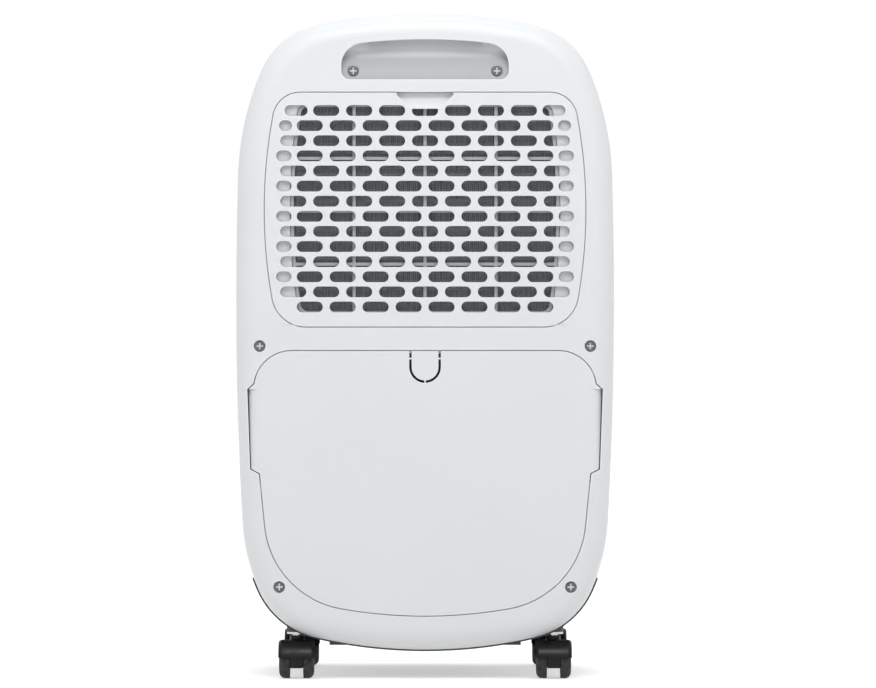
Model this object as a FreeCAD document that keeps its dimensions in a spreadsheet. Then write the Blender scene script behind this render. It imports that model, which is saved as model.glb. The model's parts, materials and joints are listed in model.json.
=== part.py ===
import FreeCAD, Part
import math
import os

import Sketcher
from FreeCAD import Placement, Rotation, Vector

# A free-standing dehumidifier on four castors.
# Frame: +Z up, origin on the floor under the middle, the air intake faces -Y,
# the controls and the plain front face +Y.  Millimetres throughout.

DIMENSIONS = {
    # casing outline, seen from behind: a chain of tangent arcs
    "body_top": 590.0,
    "body_bottom": 25.5,
    "body_half_width": 167.1,
    "body_half_depth": 122.0,
    "widest_z": 335.0,
    "crown_radius": 467.0,
    "shoulder_radius": 75.7,
    "shoulder_z": 506.9,
    "upper_side_radius": 251.4,
    "side_radius": 3574.0,
    "lower_side_radius": 172.7,
    "corner_radius": 72.8,
    "corner_z": 107.4,
    "keel_radius": 433.0,
    # casing shells
    "wall": 2.5,
    "rear_edge_radius": 20.0,
    "front_edge_radius": 26.0,
    "split_y": -48.0,
    "seam": 0.6,
    "lip": 1.5,
    "post_radius": 7.0,
    "screw_head_radius": 4.3,
    "screw_recess_radius": 5.2,
    "screw_recess_depth": 2.2,
    "upper_screw_x": 145.6,
    "upper_screw_z": 293.9,
    "lower_screw_x": 128.4,
    "lower_screw_z": 81.7,
    # hand grip in the back
    "grip_half_width": 73.7,
    "grip_bottom": 528.7,
    "grip_top": 564.2,
    "grip_arch_radius": 491.0,
    "grip_top_corner": 20.0,
    "grip_bottom_corner": 7.5,
    "grip_depth": 30.0,
    "grip_wall": 2.0,
    "grip_screw_x": 63.3,
    "grip_screw_z": 536.4,
    # intake grille
    "panel_top": 517.0,
    "panel_bottom": 311.0,
    "panel_half_width": 141.2,
    "panel_side_radius": 450.0,
    "panel_top_corner": 24.0,
    "panel_bottom_corner": 30.0,
    "panel_thickness": 2.2,
    "panel_gap": 0.8,
    "slot_length": 23.0,
    "slot_height": 9.6,
    "slot_pitch": 29.0,
    "row_pitch": 13.3,
    "row_top": 501.2,
    "row_count": 14,
    "tab_top_half": 24.9,
    "tab_bottom_half": 14.5,
    "tab_height": 13.0,
    "tab_depth": 6.0,
    # window behind the grille, with the filter in it
    "window_top": 508.0,
    "window_bottom": 321.0,
    "window_half_width": 119.2,
    "window_side_radius": 575.0,
    "window_corner": 10.0,
    "filter_border": 3.0,
    "filter_depth": 3.0,
    "filter_rib": 2.8,
    "filter_column_pitch": 62.5,
    "filter_row_pitch": 46.6,
    # water tank
    "tank_top": 290.4,
    "tank_bottom": 55.7,
    "tank_keel_radius": 424.0,
    "tank_corner_radius": 82.0,
    "tank_corner_z": 143.0,
    "tank_top_corner": 34.0,
    "tank_shoulder_x": 156.6,
    "tank_shoulder_z": 256.0,
    "tank_waist_x": 154.0,
    "tank_waist_z": 185.2,
    "tank_step_x": 146.2,
    "tank_step_z": 181.3,
    "tank_upper_x": 151.3,
    "tank_upper_z": 261.0,
    "tank_gap": 0.8,
    "tank_wall": 2.2,
    "tank_depth": 106.0,
    "bucket_half_width": 122.0,
    "bucket_corner": 70.0,
    "bucket_bottom": 66.0,
    "bucket_top": 284.0,
    "knockout_radius": 12.85,
    "knockout_slot": 2.1,
    "knockout_z": 275.4,
    "knockout_tab": 1.3,
    # base
    "base_rim": 1.7,
    "base_wall": 3.6,
    "base_half_depth": 98.0,
    "base_top": 88.0,
    "deck_z": 50.0,
    "deck_thickness": 3.0,
    "foot_half_width": 84.8,
    "foot_bottom": 29.0,
    # castors
    "castor_x": 113.6,
    "castor_y": 88.0,
    "castor_trail": 10.0,
    "wheel_radius": 16.0,
    "wheel_inner_x": 6.0,
    "wheel_outer_x": 15.4,
    "hood_radius": 18.1,
    "hood_wall": 1.6,
    "hood_half_width": 17.0,
    "axle_radius": 1.5,
    "stem_radius": 4.0,
    "socket_radius": 7.6,
    "socket_top": 64.0,
    # refrigeration and air path
    "coil_half_width": 112.0,
    "coil_bottom": 312.0,
    "coil_top": 505.0,
    "coil_depth": 22.0,
    "evaporator_y": -104.0,
    "condenser_y": -76.0,
    "fan_z": 412.0,
    "fan_radius": 74.0,
    "fan_depth": 42.0,
    "scroll_radius": 84.0,
    "scroll_y": -44.0,
    "scroll_depth": 60.0,
    "duct_half_width": 72.0,
    "outlet_half_width": 70.0,
    "outlet_low_y": -36.0,
    "outlet_high_y": 12.0,
    "vane_pitch": 16.0,
    "vane_chord": 15.2,
    "vane_z": 572.0,
    "motor_radius": 38.0,
    "compressor_x": -46.0,
    "compressor_y": 54.0,
    "compressor_radius": 50.0,
    # controls
    "control_half_width": 84.0,
    "control_low_y": 34.0,
    "control_high_y": 92.0,
    "button_radius": 5.5,
    "button_y": 63.0,
    "button_travel": 1.2,
}

doc = FreeCAD.newDocument("Dehumidifier")
sheet = doc.addObject("Spreadsheet::Sheet", "Dims")
for row, (alias, number) in enumerate(DIMENSIONS.items(), start=1):
    sheet.set(f"A{row}", alias)
    sheet.set(f"B{row}", str(number))
    sheet.setAlias(f"B{row}", alias)
doc.recompute()


class Size:
    """A length held both as a number and as a formula over the spreadsheet."""

    def __init__(self, number, formula=None):
        self.number = float(number)
        self.formula = formula or f"({self.number!r})"

    def __add__(self, other):
        other = as_size(other)
        return Size(self.number + other.number, f"({self.formula} + {other.formula})")

    def __sub__(self, other):
        other = as_size(other)
        return Size(self.number - other.number, f"({self.formula} - {other.formula})")

    def __mul__(self, other):
        other = as_size(other)
        return Size(self.number * other.number, f"({self.formula} * {other.formula})")

    def __truediv__(self, other):
        other = as_size(other)
        return Size(self.number / other.number, f"({self.formula} / {other.formula})")

    def __neg__(self):
        return Size(0) - self

    def __radd__(self, other):
        return as_size(other) + self

    def __rsub__(self, other):
        return as_size(other) - self

    def __rmul__(self, other):
        return as_size(other) * self

    def __float__(self):
        return self.number

    def root(self):
        return Size(math.sqrt(self.number), f"sqrt({self.formula})")


def as_size(value):
    return value if isinstance(value, Size) else Size(value)


class Sheet:
    """Reads the driving dimensions: d.wall is the cell called wall."""

    def __getattr__(self, alias):
        return Size(sheet.get(alias), f"Dims.{alias}")


d = Sheet()
nodes = []


def node(shape_object, label):
    """Name a finished sub-part and keep it for export."""
    shape_object.Label = label
    nodes.append(shape_object)
    return shape_object


def bind(target, prop, value):
    target.setExpression(prop, as_size(value).formula)


def place(target, x=0.0, y=0.0, z=0.0, rotation=None):
    """Move an object to bound coordinates, turned by a fixed rotation."""
    spot = Vector(float(as_size(x)), float(as_size(y)), float(as_size(z)))
    target.Placement = Placement(spot, rotation or Rotation())
    for axis, value in zip("xyz", (x, y, z)):
        bind(target, f"Placement.Base.{axis}", value)
    return target


def box(name, x, y, z):
    """A block from (low, high) pairs along each axis."""
    block = doc.addObject("Part::Box", name)
    for prop, (low, high) in zip(("Length", "Width", "Height"), (x, y, z)):
        bind(block, prop, as_size(high) - low)
    return place(block, x[0], y[0], z[0])


ALONG = {
    "x": Rotation(Vector(0, 1, 0), 90),
    "y": Rotation(Vector(1, 0, 0), -90),
    "z": Rotation(),
}


def rod(name, axis, start, radius, length):
    """A cylinder that begins at start and runs along +axis."""
    cylinder = doc.addObject("Part::Cylinder", name)
    bind(cylinder, "Radius", radius)
    bind(cylinder, "Height", length)
    return place(cylinder, *start, rotation=ALONG[axis])


def fuse(name, *parts):
    joined = doc.addObject("Part::MultiFuse", name)
    joined.Shapes = list(parts)
    joined.Refine = True
    return joined


def common(name, *parts):
    shared = doc.addObject("Part::MultiCommon", name)
    shared.Shapes = list(parts)
    return shared


def cut(name, base, *tools):
    result = doc.addObject("Part::Cut", name)
    result.Base = base
    result.Tool = tools[0] if len(tools) == 1 else fuse(f"{name}_tools", *tools)
    result.Refine = True
    return result


def group(name, *parts):
    """Separate identical solids that share one node."""
    compound = doc.addObject("Part::Compound", name)
    compound.Links = list(parts)
    return compound


# ---------------------------------------------------------------- outlines

PLANES = {
    "XZ": Rotation(Vector(1, 0, 0), 90),
    "XY": Rotation(),
    "YZ": Rotation(Vector(0.5773503, 0.5773503, 0.5773503), 120),
}
START, END, CENTRE = 1, 2, 3
ORIGIN = -1


class Outline:
    """A closed sketch loop drawn edge by edge, counter-clockwise."""

    def __init__(self, sketch):
        self.sketch = sketch
        self.edges = []

    def pin(self, edge, point, x=None, y=None):
        for kind, value in (("DistanceX", x), ("DistanceY", y)):
            if value is None:
                continue
            value = as_size(value)
            if abs(value.number) < 1e-9:
                axis = -2 if kind == "DistanceX" else -1
                self.sketch.addConstraint(Sketcher.Constraint("PointOnObject", edge, point, axis))
                continue
            rule = Sketcher.Constraint(kind, ORIGIN, 1, edge, point, value.number)
            index = self.sketch.addConstraint(rule)
            self.sketch.setExpression(f"Constraints[{index}]", value.formula)

    def level(self, edge, y):
        self.sketch.addConstraint(Sketcher.Constraint("Horizontal", edge))
        self.pin(edge, START, None, y)

    def upright(self, edge, x):
        self.sketch.addConstraint(Sketcher.Constraint("Vertical", edge))
        self.pin(edge, START, x)

    def line(self, start, end, smooth=False):
        ends = [Vector(float(x), float(y), 0) for x, y in (start, end)]
        edge = self.sketch.addGeometry(Part.LineSegment(*ends), False)
        self.edges.append((edge, smooth))
        return edge

    def arc(self, centre, radius, low, high, smooth=True):
        radius = as_size(radius)
        middle = Vector(float(centre[0]), float(centre[1]), 0)
        circle = Part.Circle(middle, Vector(0, 0, 1), radius.number)
        edge = self.sketch.addGeometry(Part.ArcOfCircle(circle, low, high), False)
        index = self.sketch.addConstraint(Sketcher.Constraint("Radius", edge, radius.number))
        self.sketch.setExpression(f"Constraints[{index}]", radius.formula)
        self.edges.append((edge, smooth))
        return edge

    def close(self):
        """Join every edge to the next: tangent where both ends are smooth."""
        for (edge, smooth), (after, next_smooth) in zip(self.edges, self.edges[1:] + self.edges[:1]):
            kind = "Tangent" if smooth and next_smooth else "Coincident"
            self.sketch.addConstraint(Sketcher.Constraint(kind, edge, END, after, START))
        return self.sketch


def free_sketch(name, plane="XZ"):
    sketch = doc.addObject("Sketcher::SketchObject", name)
    sketch.Placement = Placement(Vector(), PLANES[plane])
    return sketch


def polygon(sketch, corners):
    """A closed loop of straight edges with every corner pinned to its sizes."""
    loop = Outline(sketch)
    for start, end in zip(corners, corners[1:] + corners[:1]):
        edge = loop.line(start, end)
        loop.pin(edge, START, *start)
    return loop.close()


def direction(tail, head):
    return math.atan2(float(head[1]) - float(tail[1]), float(head[0]) - float(tail[0]))


def reach(centre, distance, height):
    """The point at the given height, to the right, at a distance from centre."""
    rise = height - centre[1]
    return (centre[0] + (distance * distance - rise * rise).root(), height)


def circles_meet(first, first_radius, second, second_radius):
    """Both crossings of two circles, as plain numbers."""
    ax, ay, bx, by = (float(v) for v in (*first, *second))
    ra, rb = float(first_radius), float(second_radius)
    gap = math.hypot(bx - ax, by - ay)
    along = (ra * ra - rb * rb + gap * gap) / (2 * gap)
    aside = math.sqrt(ra * ra - along * along)
    ux, uy = (bx - ax) / gap, (by - ay) / gap
    middle = (ax + along * ux, ay + along * uy)
    return [(middle[0] + s * aside * uy, middle[1] - s * aside * ux) for s in (1, -1)]


def lowest(points):
    return min(points, key=lambda point: point[1])


def highest(points):
    return max(points, key=lambda point: point[1])


def casing_outline(sketch, inset=0.0):
    """The casing's section, inset evenly: twelve tangent arcs about shared centres."""
    inset = as_size(inset)
    crown = (Size(0), d.body_top - d.crown_radius)
    shoulder = reach(crown, d.crown_radius - d.shoulder_radius, d.shoulder_z)
    side = (d.body_half_width - d.side_radius, d.widest_z)
    keel = (Size(0), d.body_bottom + d.keel_radius)
    corner = reach(keel, d.keel_radius - d.corner_radius, d.corner_z)
    side_to_upper = d.side_radius - d.upper_side_radius
    side_to_lower = d.side_radius - d.lower_side_radius
    upper_to_shoulder = d.upper_side_radius - d.shoulder_radius
    lower_to_corner = d.lower_side_radius - d.corner_radius
    upper = lowest(circles_meet(shoulder, upper_to_shoulder, side, side_to_upper))
    lower = highest(circles_meet(corner, lower_to_corner, side, side_to_lower))
    angles = [
        direction(keel, corner),
        direction(lower, corner),
        direction(side, lower),
        direction(side, upper),
        direction(upper, shoulder),
        direction(crown, shoulder),
    ]
    right = [
        (corner, d.corner_radius, (None, d.corner_z)),
        (lower, d.lower_side_radius, (None, None)),
        (side, d.side_radius, side),
        (upper, d.upper_side_radius, (None, None)),
        (shoulder, d.shoulder_radius, (None, d.shoulder_z)),
    ]
    loop = Outline(sketch)
    edge = loop.arc(keel, d.keel_radius - inset, -math.pi - angles[0], angles[0])
    loop.pin(edge, CENTRE, 0, keel[1])
    for (centre, radius, pins), low, high in zip(right, angles, angles[1:]):
        edge = loop.arc(centre, radius - inset, low, high)
        loop.pin(edge, CENTRE, *pins)
    edge = loop.arc(crown, d.crown_radius - inset, angles[5], math.pi - angles[5])
    loop.pin(edge, CENTRE, 0, crown[1])
    for (centre, radius, pins), low, high in reversed(list(zip(right, angles, angles[1:]))):
        mirrored = (-float(centre[0]), centre[1])
        edge = loop.arc(mirrored, radius - inset, math.pi - high, math.pi - low)
        loop.pin(edge, CENTRE, None if pins[0] is None else -pins[0], pins[1])
    return loop.close()


def bowed_outline(name, half_width, bottom, top, side_radius, low_corner, high_corner):
    """A flat-topped panel whose sides bow outward, with rounded corners."""
    middle = (bottom + top) / 2
    side = (half_width - side_radius, middle)
    low = reach(side, side_radius - low_corner, bottom + low_corner)
    high = reach(side, side_radius - high_corner, top - high_corner)
    low_angle = direction(side, low)
    high_angle = direction(side, high)
    quarter = math.pi / 2
    loop = Outline(free_sketch(name))
    edge = loop.line((-low[0], bottom), (low[0], bottom), smooth=True)
    loop.level(edge, bottom)
    loop.arc(low, low_corner, -quarter, low_angle)
    edge = loop.arc(side, side_radius, low_angle, high_angle)
    loop.pin(edge, CENTRE, *side)
    loop.arc(high, high_corner, high_angle, quarter)
    edge = loop.line((high[0], top), (-high[0], top), smooth=True)
    loop.level(edge, top)
    loop.arc((-high[0], high[1]), high_corner, quarter, math.pi - high_angle)
    edge = loop.arc((-side[0], side[1]), side_radius, math.pi - high_angle, math.pi - low_angle)
    loop.pin(edge, CENTRE, -side[0], side[1])
    loop.arc((-low[0], low[1]), low_corner, math.pi - low_angle, 3 * quarter)
    return loop.close()


def widen(name, sketch, amount):
    """An even offset of a closed sketch, outward where amount is positive."""
    offset = doc.addObject("Part::Offset2D", name)
    offset.Source = sketch
    bind(offset, "Value", amount)
    return offset


def along_y(name, profile, low, high):
    """Extrude an XZ profile between two Y positions."""
    low = as_size(low)
    prism = doc.addObject("Part::Extrusion", name)
    prism.Base = profile
    prism.DirMode = "Custom"
    prism.Dir = Vector(0, 1, 0)
    prism.Solid = True
    bind(prism, "LengthFwd", as_size(high))
    bind(prism, "LengthRev", -low)
    return prism


def along_x(name, profile, half_width):
    """Extrude a YZ profile evenly to both sides of the middle."""
    prism = doc.addObject("Part::Extrusion", name)
    prism.Base = profile
    prism.DirMode = "Custom"
    prism.Dir = Vector(1, 0, 0)
    prism.Solid = True
    prism.Symmetric = True
    bind(prism, "LengthFwd", as_size(half_width) * 2)
    return prism


def turned(name, profile, base, axis):
    """A solid of revolution about a fixed axis through base."""
    solid = doc.addObject("Part::Revolution", name)
    solid.Source = profile
    solid.Axis = axis
    solid.Base = base
    solid.Angle = 360
    solid.Solid = True
    return solid


def ring_prism(name, sketch, outer, inner, low, high):
    """The band between two even offsets of one outline, extruded along Y."""
    outside = along_y(f"{name}_outside", widen(f"{name}_outer", sketch, outer), low, high)
    inside = along_y(f"{name}_inside", widen(f"{name}_inner", sketch, inner), low - 1, high + 1)
    return cut(name, outside, inside)


# ---------------------------------------------------------------- casing

CUT_DEPTH = 6.0
rear_y = -d.body_half_depth
front_y = d.body_half_depth
inner_rear_y = rear_y + d.wall
inner_front_y = front_y - d.wall


def origin_plane(body, role):
    return next(plane for plane in body.Origin.OriginFeatures if plane.Role == role)


def body_sketch(body, name, role, offset=0.0):
    sketch = body.newObject("Sketcher::SketchObject", name)
    sketch.AttachmentSupport = [(origin_plane(body, role), "")]
    sketch.MapMode = "FlatFace"
    bind(sketch, "AttachmentOffset.Base.z", offset)
    return sketch


def casing_block(name, inset, start_y, face_y, edge_radius):
    """Half of the casing as a solid, its far edge rounded."""
    body = doc.addObject("PartDesign::Body", name)
    sketch = body_sketch(body, f"{name}_outline", "XZ_Plane", -start_y)
    casing_outline(sketch, inset)
    toward_front = face_y.number > start_y.number
    pad = body.newObject("PartDesign::Pad", f"{name}_pad")
    pad.Profile = sketch
    pad.Reversed = toward_front
    bind(pad, "Length", face_y - start_y if toward_front else start_y - face_y)
    doc.recompute()
    far_edges = [
        f"Edge{index}"
        for index, edge in enumerate(pad.Shape.Edges, start=1)
        if all(abs(vertex.Y - face_y.number) < 0.01 for vertex in edge.Vertexes)
    ]
    rounding = body.newObject("PartDesign::Fillet", f"{name}_rounding")
    rounding.Base = (pad, far_edges)
    bind(rounding, "Radius", edge_radius)
    body.Tip = rounding
    return body


casing_line = casing_outline(free_sketch("casing_line"))
rear_block = casing_block("rear_block", 0, d.split_y, rear_y, d.rear_edge_radius)
rear_cavity = casing_block(
    "rear_cavity", d.wall, d.split_y + 1, inner_rear_y, d.rear_edge_radius - d.wall
)
front_start = d.split_y + d.seam
front_block = casing_block("front_block", 0, front_start, front_y, d.front_edge_radius)
front_cavity = casing_block(
    "front_cavity", d.wall, front_start - 1, inner_front_y, d.front_edge_radius - d.wall
)
rear_shell = cut("rear_shell", rear_block, rear_cavity)
front_shell = cut("front_shell", front_block, front_cavity)

SCREWS = [
    (sign * x, z)
    for x, z in ((d.upper_screw_x, d.upper_screw_z), (d.lower_screw_x, d.lower_screw_z))
    for sign in (-1, 1)
]
GRIP_SCREWS = [(sign * d.grip_screw_x, d.grip_screw_z) for sign in (-1, 1)]
SCREW_PILOT = 1.8
GRIP_FRONT_Y = inner_rear_y + 0.1
GRIP_HEAD_Y = rear_y + 5.0
LEDGE_OVERLAP = 4.0
LEDGE_REST = 3.0
LEDGE_DROP = 2.4
LEDGE_THICKNESS = 2.0
TANK_REST_GAP = 0.4
HINGE_Y = rear_y + 1.1
HINGE_Z = Size(312.5)
HINGE_RADIUS = Size(0.8)
HINGE_PLAY = 0.06
HINGE_REACH = Size(125)
GRIP_RELIEF = 22.0
FRONT_PANEL_INSET = 32.0
FRONT_PANEL_GAP = 0.6
OUTLET_WALL = 4.0
OUTLET_OUTER_X = d.outlet_half_width + OUTLET_WALL
OUTLET_Y = (d.outlet_low_y - OUTLET_WALL, d.outlet_high_y + OUTLET_WALL)
OUTLET_BOTTOM_Z = Size(557.0)
LIGHT_X = 22.0
LIGHT_Z = (452.0, 456.0)


def rods_along_y(name, places, radius, low, high):
    return [
        rod(f"{name}_{number}", "y", (x, low, z), radius, as_size(high) - low)
        for number, (x, z) in enumerate(places, start=1)
    ]


def grip_outline(sketch):
    """The hand grip's opening: straight sides, a low arch over the top."""
    low = (d.grip_half_width - d.grip_bottom_corner, d.grip_bottom + d.grip_bottom_corner)
    arch = (Size(0), d.grip_top - d.grip_arch_radius)
    reach_x = d.grip_half_width - d.grip_top_corner
    span = d.grip_arch_radius - d.grip_top_corner
    high = (reach_x, arch[1] + (span * span - reach_x * reach_x).root())
    lean = direction(arch, high)
    quarter = math.pi / 2
    loop = Outline(sketch)
    edge = loop.line((-low[0], d.grip_bottom), (low[0], d.grip_bottom), smooth=True)
    loop.level(edge, d.grip_bottom)
    loop.arc(low, d.grip_bottom_corner, -quarter, 0)
    edge = loop.line((d.grip_half_width, low[1]), (d.grip_half_width, high[1]), smooth=True)
    loop.upright(edge, d.grip_half_width)
    loop.arc(high, d.grip_top_corner, 0, lean)
    edge = loop.arc(arch, d.grip_arch_radius, lean, math.pi - lean)
    loop.pin(edge, CENTRE, 0, arch[1])
    loop.arc((-high[0], high[1]), d.grip_top_corner, math.pi - lean, math.pi)
    edge = loop.line((-d.grip_half_width, high[1]), (-d.grip_half_width, low[1]), smooth=True)
    loop.upright(edge, -d.grip_half_width)
    loop.arc((-low[0], low[1]), d.grip_bottom_corner, math.pi, 3 * quarter)
    return loop.close()


def tank_outline(sketch):
    """The tank front: a rounded keel, grip notches at the sides, rounded shoulders."""
    keel = (Size(0), d.tank_bottom + d.tank_keel_radius)
    corner = reach(keel, d.tank_keel_radius - d.tank_corner_radius, d.tank_corner_z)
    step = (d.tank_step_x, d.tank_step_z)
    away = math.hypot(float(step[0] - corner[0]), float(step[1] - corner[1]))
    side_angle = direction(corner, step) - math.acos(d.tank_corner_radius.number / away)
    keel_angle = direction(keel, corner)
    touch = (
        float(corner[0]) + float(d.tank_corner_radius) * math.cos(side_angle),
        float(corner[1]) + float(d.tank_corner_radius) * math.sin(side_angle),
    )
    top_centre = (d.tank_upper_x - d.tank_top_corner, d.tank_top - d.tank_top_corner)
    rise = (d.tank_upper_z - top_centre[1]) / d.tank_top_corner
    top_angle = math.asin(rise.number)
    upper = (
        float(top_centre[0]) + float(d.tank_top_corner) * math.cos(top_angle),
        float(d.tank_upper_z),
    )
    side_points = [
        step,
        (d.tank_waist_x, d.tank_waist_z),
        (d.tank_shoulder_x, d.tank_shoulder_z),
    ]
    loop = Outline(sketch)
    edge = loop.arc(keel, d.tank_keel_radius, -math.pi - keel_angle, keel_angle)
    loop.pin(edge, CENTRE, 0, keel[1])
    edge = loop.arc(corner, d.tank_corner_radius, keel_angle, side_angle)
    loop.pin(edge, CENTRE, None, corner[1])
    loop.line(touch, step, smooth=True)
    for start, end in zip(side_points, side_points[1:] + [upper]):
        edge = loop.line(start, end)
        loop.pin(edge, START, *start)
    edge = loop.arc(top_centre, d.tank_top_corner, top_angle, math.pi / 2)
    loop.pin(edge, CENTRE, *top_centre)
    loop.pin(edge, START, None, d.tank_upper_z)
    loop.line((top_centre[0], d.tank_top), (-top_centre[0], d.tank_top), smooth=True)
    left = (-top_centre[0], top_centre[1])
    edge = loop.arc(left, d.tank_top_corner, math.pi / 2, math.pi - top_angle)
    loop.pin(edge, CENTRE, *left)
    loop.pin(edge, END, None, d.tank_upper_z)
    mirrored = [(-x, z) for x, z in reversed(side_points)]
    loop.line((-upper[0], upper[1]), mirrored[0])
    for start, end in zip(mirrored, mirrored[1:]):
        edge = loop.line(start, end)
        loop.pin(edge, START, *start)
    edge = loop.line(mirrored[-1], (-touch[0], touch[1]), smooth=True)
    loop.pin(edge, START, *mirrored[-1])
    edge = loop.arc(
        (-corner[0], corner[1]), d.tank_corner_radius, math.pi - side_angle, math.pi - keel_angle
    )
    loop.pin(edge, CENTRE, None, corner[1])
    return loop.close()


grip_line = grip_outline(free_sketch("grip_line"))
tank_line = tank_outline(free_sketch("tank_line"))
panel_line = bowed_outline(
    "panel_line", d.panel_half_width, d.panel_bottom, d.panel_top,
    d.panel_side_radius, d.panel_bottom_corner, d.panel_top_corner,
)
window_line = bowed_outline(
    "window_line", d.window_half_width, d.window_bottom, d.window_top,
    d.window_side_radius, d.window_corner, d.window_corner,
)


def base_cutout(name):
    """The strip of both covers' lower wall that the base takes the place of."""
    inner_reach = 4.2
    outer_reach = 5.0
    half = d.base_half_depth + d.seam
    strip = ring_prism(f"{name}_strip", casing_line, outer_reach, -inner_reach, -half, half)
    low = box(
        f"{name}_low",
        (-d.body_half_width - outer_reach, d.body_half_width + outer_reach),
        (-half, half),
        (0, d.base_top + d.seam),
    )
    return common(name, strip, low)


def hinge_rods(name, radius, reach_x):
    """The grille's two hinge pins, or their holes, at its lower corners."""
    start_x = d.panel_half_width - d.panel_bottom_corner
    return [
        rod(f"{name}_{side}", "x", (x, HINGE_Y, HINGE_Z), radius, reach_x - start_x)
        for side, x in (("left", -reach_x), ("right", start_x))
    ]


def make_rear_cover():
    posts = rods_along_y("rear_post", SCREWS, d.post_radius, inner_rear_y, d.split_y)
    lip = ring_prism("lip", casing_line, -d.wall, -d.wall - d.lip, d.split_y - 5, d.split_y + 5)
    ledge_back_y = inner_rear_y + LEDGE_DROP + LEDGE_THICKNESS
    hinge_x = d.panel_half_width - d.panel_bottom_corner + 9
    ledge = cut(
        "ledge",
        along_y("ledge_plate", widen("ledge_line", panel_line, LEDGE_OVERLAP), inner_rear_y,
                ledge_back_y),
        along_y("ledge_recess", widen("ledge_recess_line", panel_line, -LEDGE_REST), rear_y,
                inner_rear_y + LEDGE_DROP),
        along_y("ledge_window", window_line, rear_y, ledge_back_y + 1),
        box("ledge_notch", (-d.tab_top_half - 3, d.tab_top_half + 3), (rear_y, ledge_back_y + 1),
            (d.window_top - 5, d.panel_top + 0.3)),
        box("hinge_groove", (-hinge_x, hinge_x), (inner_rear_y, inner_rear_y + 1.2),
            (d.panel_bottom - d.panel_gap, d.panel_bottom + LEDGE_REST + 1)),
    )
    tank_rest_y = inner_rear_y + TANK_REST_GAP
    tank_rest = cut(
        "tank_rest",
        ring_prism("tank_rest_ring", tank_line, 1.0, -LEDGE_REST, tank_rest_y,
                   tank_rest_y + LEDGE_THICKNESS),
        *[
            box(f"tank_rest_{side}", (low, low + GRIP_RELIEF), (rear_y, front_y),
                (d.tank_step_z - 8, d.tank_shoulder_z + 12))
            for side, low in (
                ("left", -d.tank_shoulder_x - 5), ("right", d.tank_shoulder_x + 5 - GRIP_RELIEF)
            )
        ],
    )
    flange_depth = 14.0
    flange_width = 2.2
    flange = common(
        "tank_flange",
        ring_prism("tank_flange_ring", tank_line, flange_width, 0.02, rear_y + 1,
                   rear_y + 1 + flange_depth),
        rear_block,
    )
    wall_cut = (rear_y - 1, inner_rear_y + 0.2)
    openings = [
        along_y("grip_opening", grip_line, *wall_cut),
        along_y("panel_opening", widen("panel_opening_line", panel_line, d.panel_gap), *wall_cut),
    ]
    shell = cut("rear_shell_open", rear_shell, *openings)
    tank_opening = along_y("tank_opening", tank_line, rear_y - 1, rear_y + 1 + flange_depth + 1)
    solid = fuse("rear_solid", shell, lip, ledge, flange, *posts)
    recesses = rods_along_y(
        "rear_recess", SCREWS, d.screw_recess_radius, rear_y - 1, rear_y + d.screw_recess_depth + 2
    )
    holes = rods_along_y("rear_hole", SCREWS, SCREW_PILOT + 0.4, rear_y, d.split_y + 1)
    pin_holes = hinge_rods("hinge_hole", HINGE_RADIUS + HINGE_PLAY, HINGE_REACH + 0.5)
    opened = cut(
        "rear_opened", solid, tank_opening, base_cutout("rear_base_cut"), *recesses, *holes, *pin_holes
    )
    return node(fuse("rear_cover", opened, tank_rest), "rear_cover")


def make_front_cover():
    posts = rods_along_y("front_post", SCREWS, d.post_radius, front_start, inner_front_y)
    solid = fuse("front_solid", front_shell, *posts)
    openings = [
        base_cutout("front_base_cut"),
        along_y(
            "front_panel_opening",
            widen("front_panel_gap", casing_line, FRONT_PANEL_GAP - FRONT_PANEL_INSET),
            front_y - CUT_DEPTH, front_y + 1,
        ),
        box("outlet_opening", (-OUTLET_OUTER_X - 0.4, OUTLET_OUTER_X + 0.4),
            (OUTLET_Y[0] - 0.4, OUTLET_Y[1] + 0.4), (OUTLET_BOTTOM_Z, d.body_top + 1)),
        box("control_opening", (-d.control_half_width - 0.5, d.control_half_width + 0.5),
            (d.control_low_y - 0.5, d.control_high_y + 0.5), (d.body_top - 20, d.body_top + 1)),
    ]
    holes = rods_along_y("front_hole", SCREWS, SCREW_PILOT, front_start - 1, front_start + 25)
    return node(cut("front_cover", solid, *openings, *holes), "front_cover")


def make_front_panel():
    sheet_body = along_y(
        "front_panel_prism", widen("front_panel_line", casing_line, -FRONT_PANEL_INSET),
        inner_front_y - 1, front_y + 1,
    )
    light_hole = box("light_hole", (-LIGHT_X, LIGHT_X), (inner_front_y - 2, front_y + 1), LIGHT_Z)
    panel = cut("front_panel", common("front_panel_sheet", sheet_body, front_shell), light_hole)
    node(panel, "front_panel")
    lens = box("status_light", (-LIGHT_X + 0.2, LIGHT_X - 0.2), (inner_front_y, front_y - 0.2),
               (LIGHT_Z[0] + 0.2, LIGHT_Z[1] - 0.2))
    node(lens, "status_light")


def cross_screw(name, x, head_y, z, shank_length):
    """A pan-head screw along Y with a cross recess in its head."""
    head_height = 2.0
    arm = 3.0
    blade = 0.7
    recess_depth = 1.2
    head = rod(f"{name}_head", "y", (x, head_y, z), d.screw_head_radius, head_height)
    shank = rod(f"{name}_shank", "y", (x, head_y + 1, z), SCREW_PILOT, shank_length)
    depth = (head_y - 0.5, head_y + recess_depth)
    upright = box(f"{name}_upright", (x - blade, x + blade), depth, (z - arm, z + arm))
    level = box(f"{name}_level", (x - arm, x + arm), depth, (z - blade, z + blade))
    return cut(name, fuse(f"{name}_blank", head, shank), upright, level)


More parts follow.
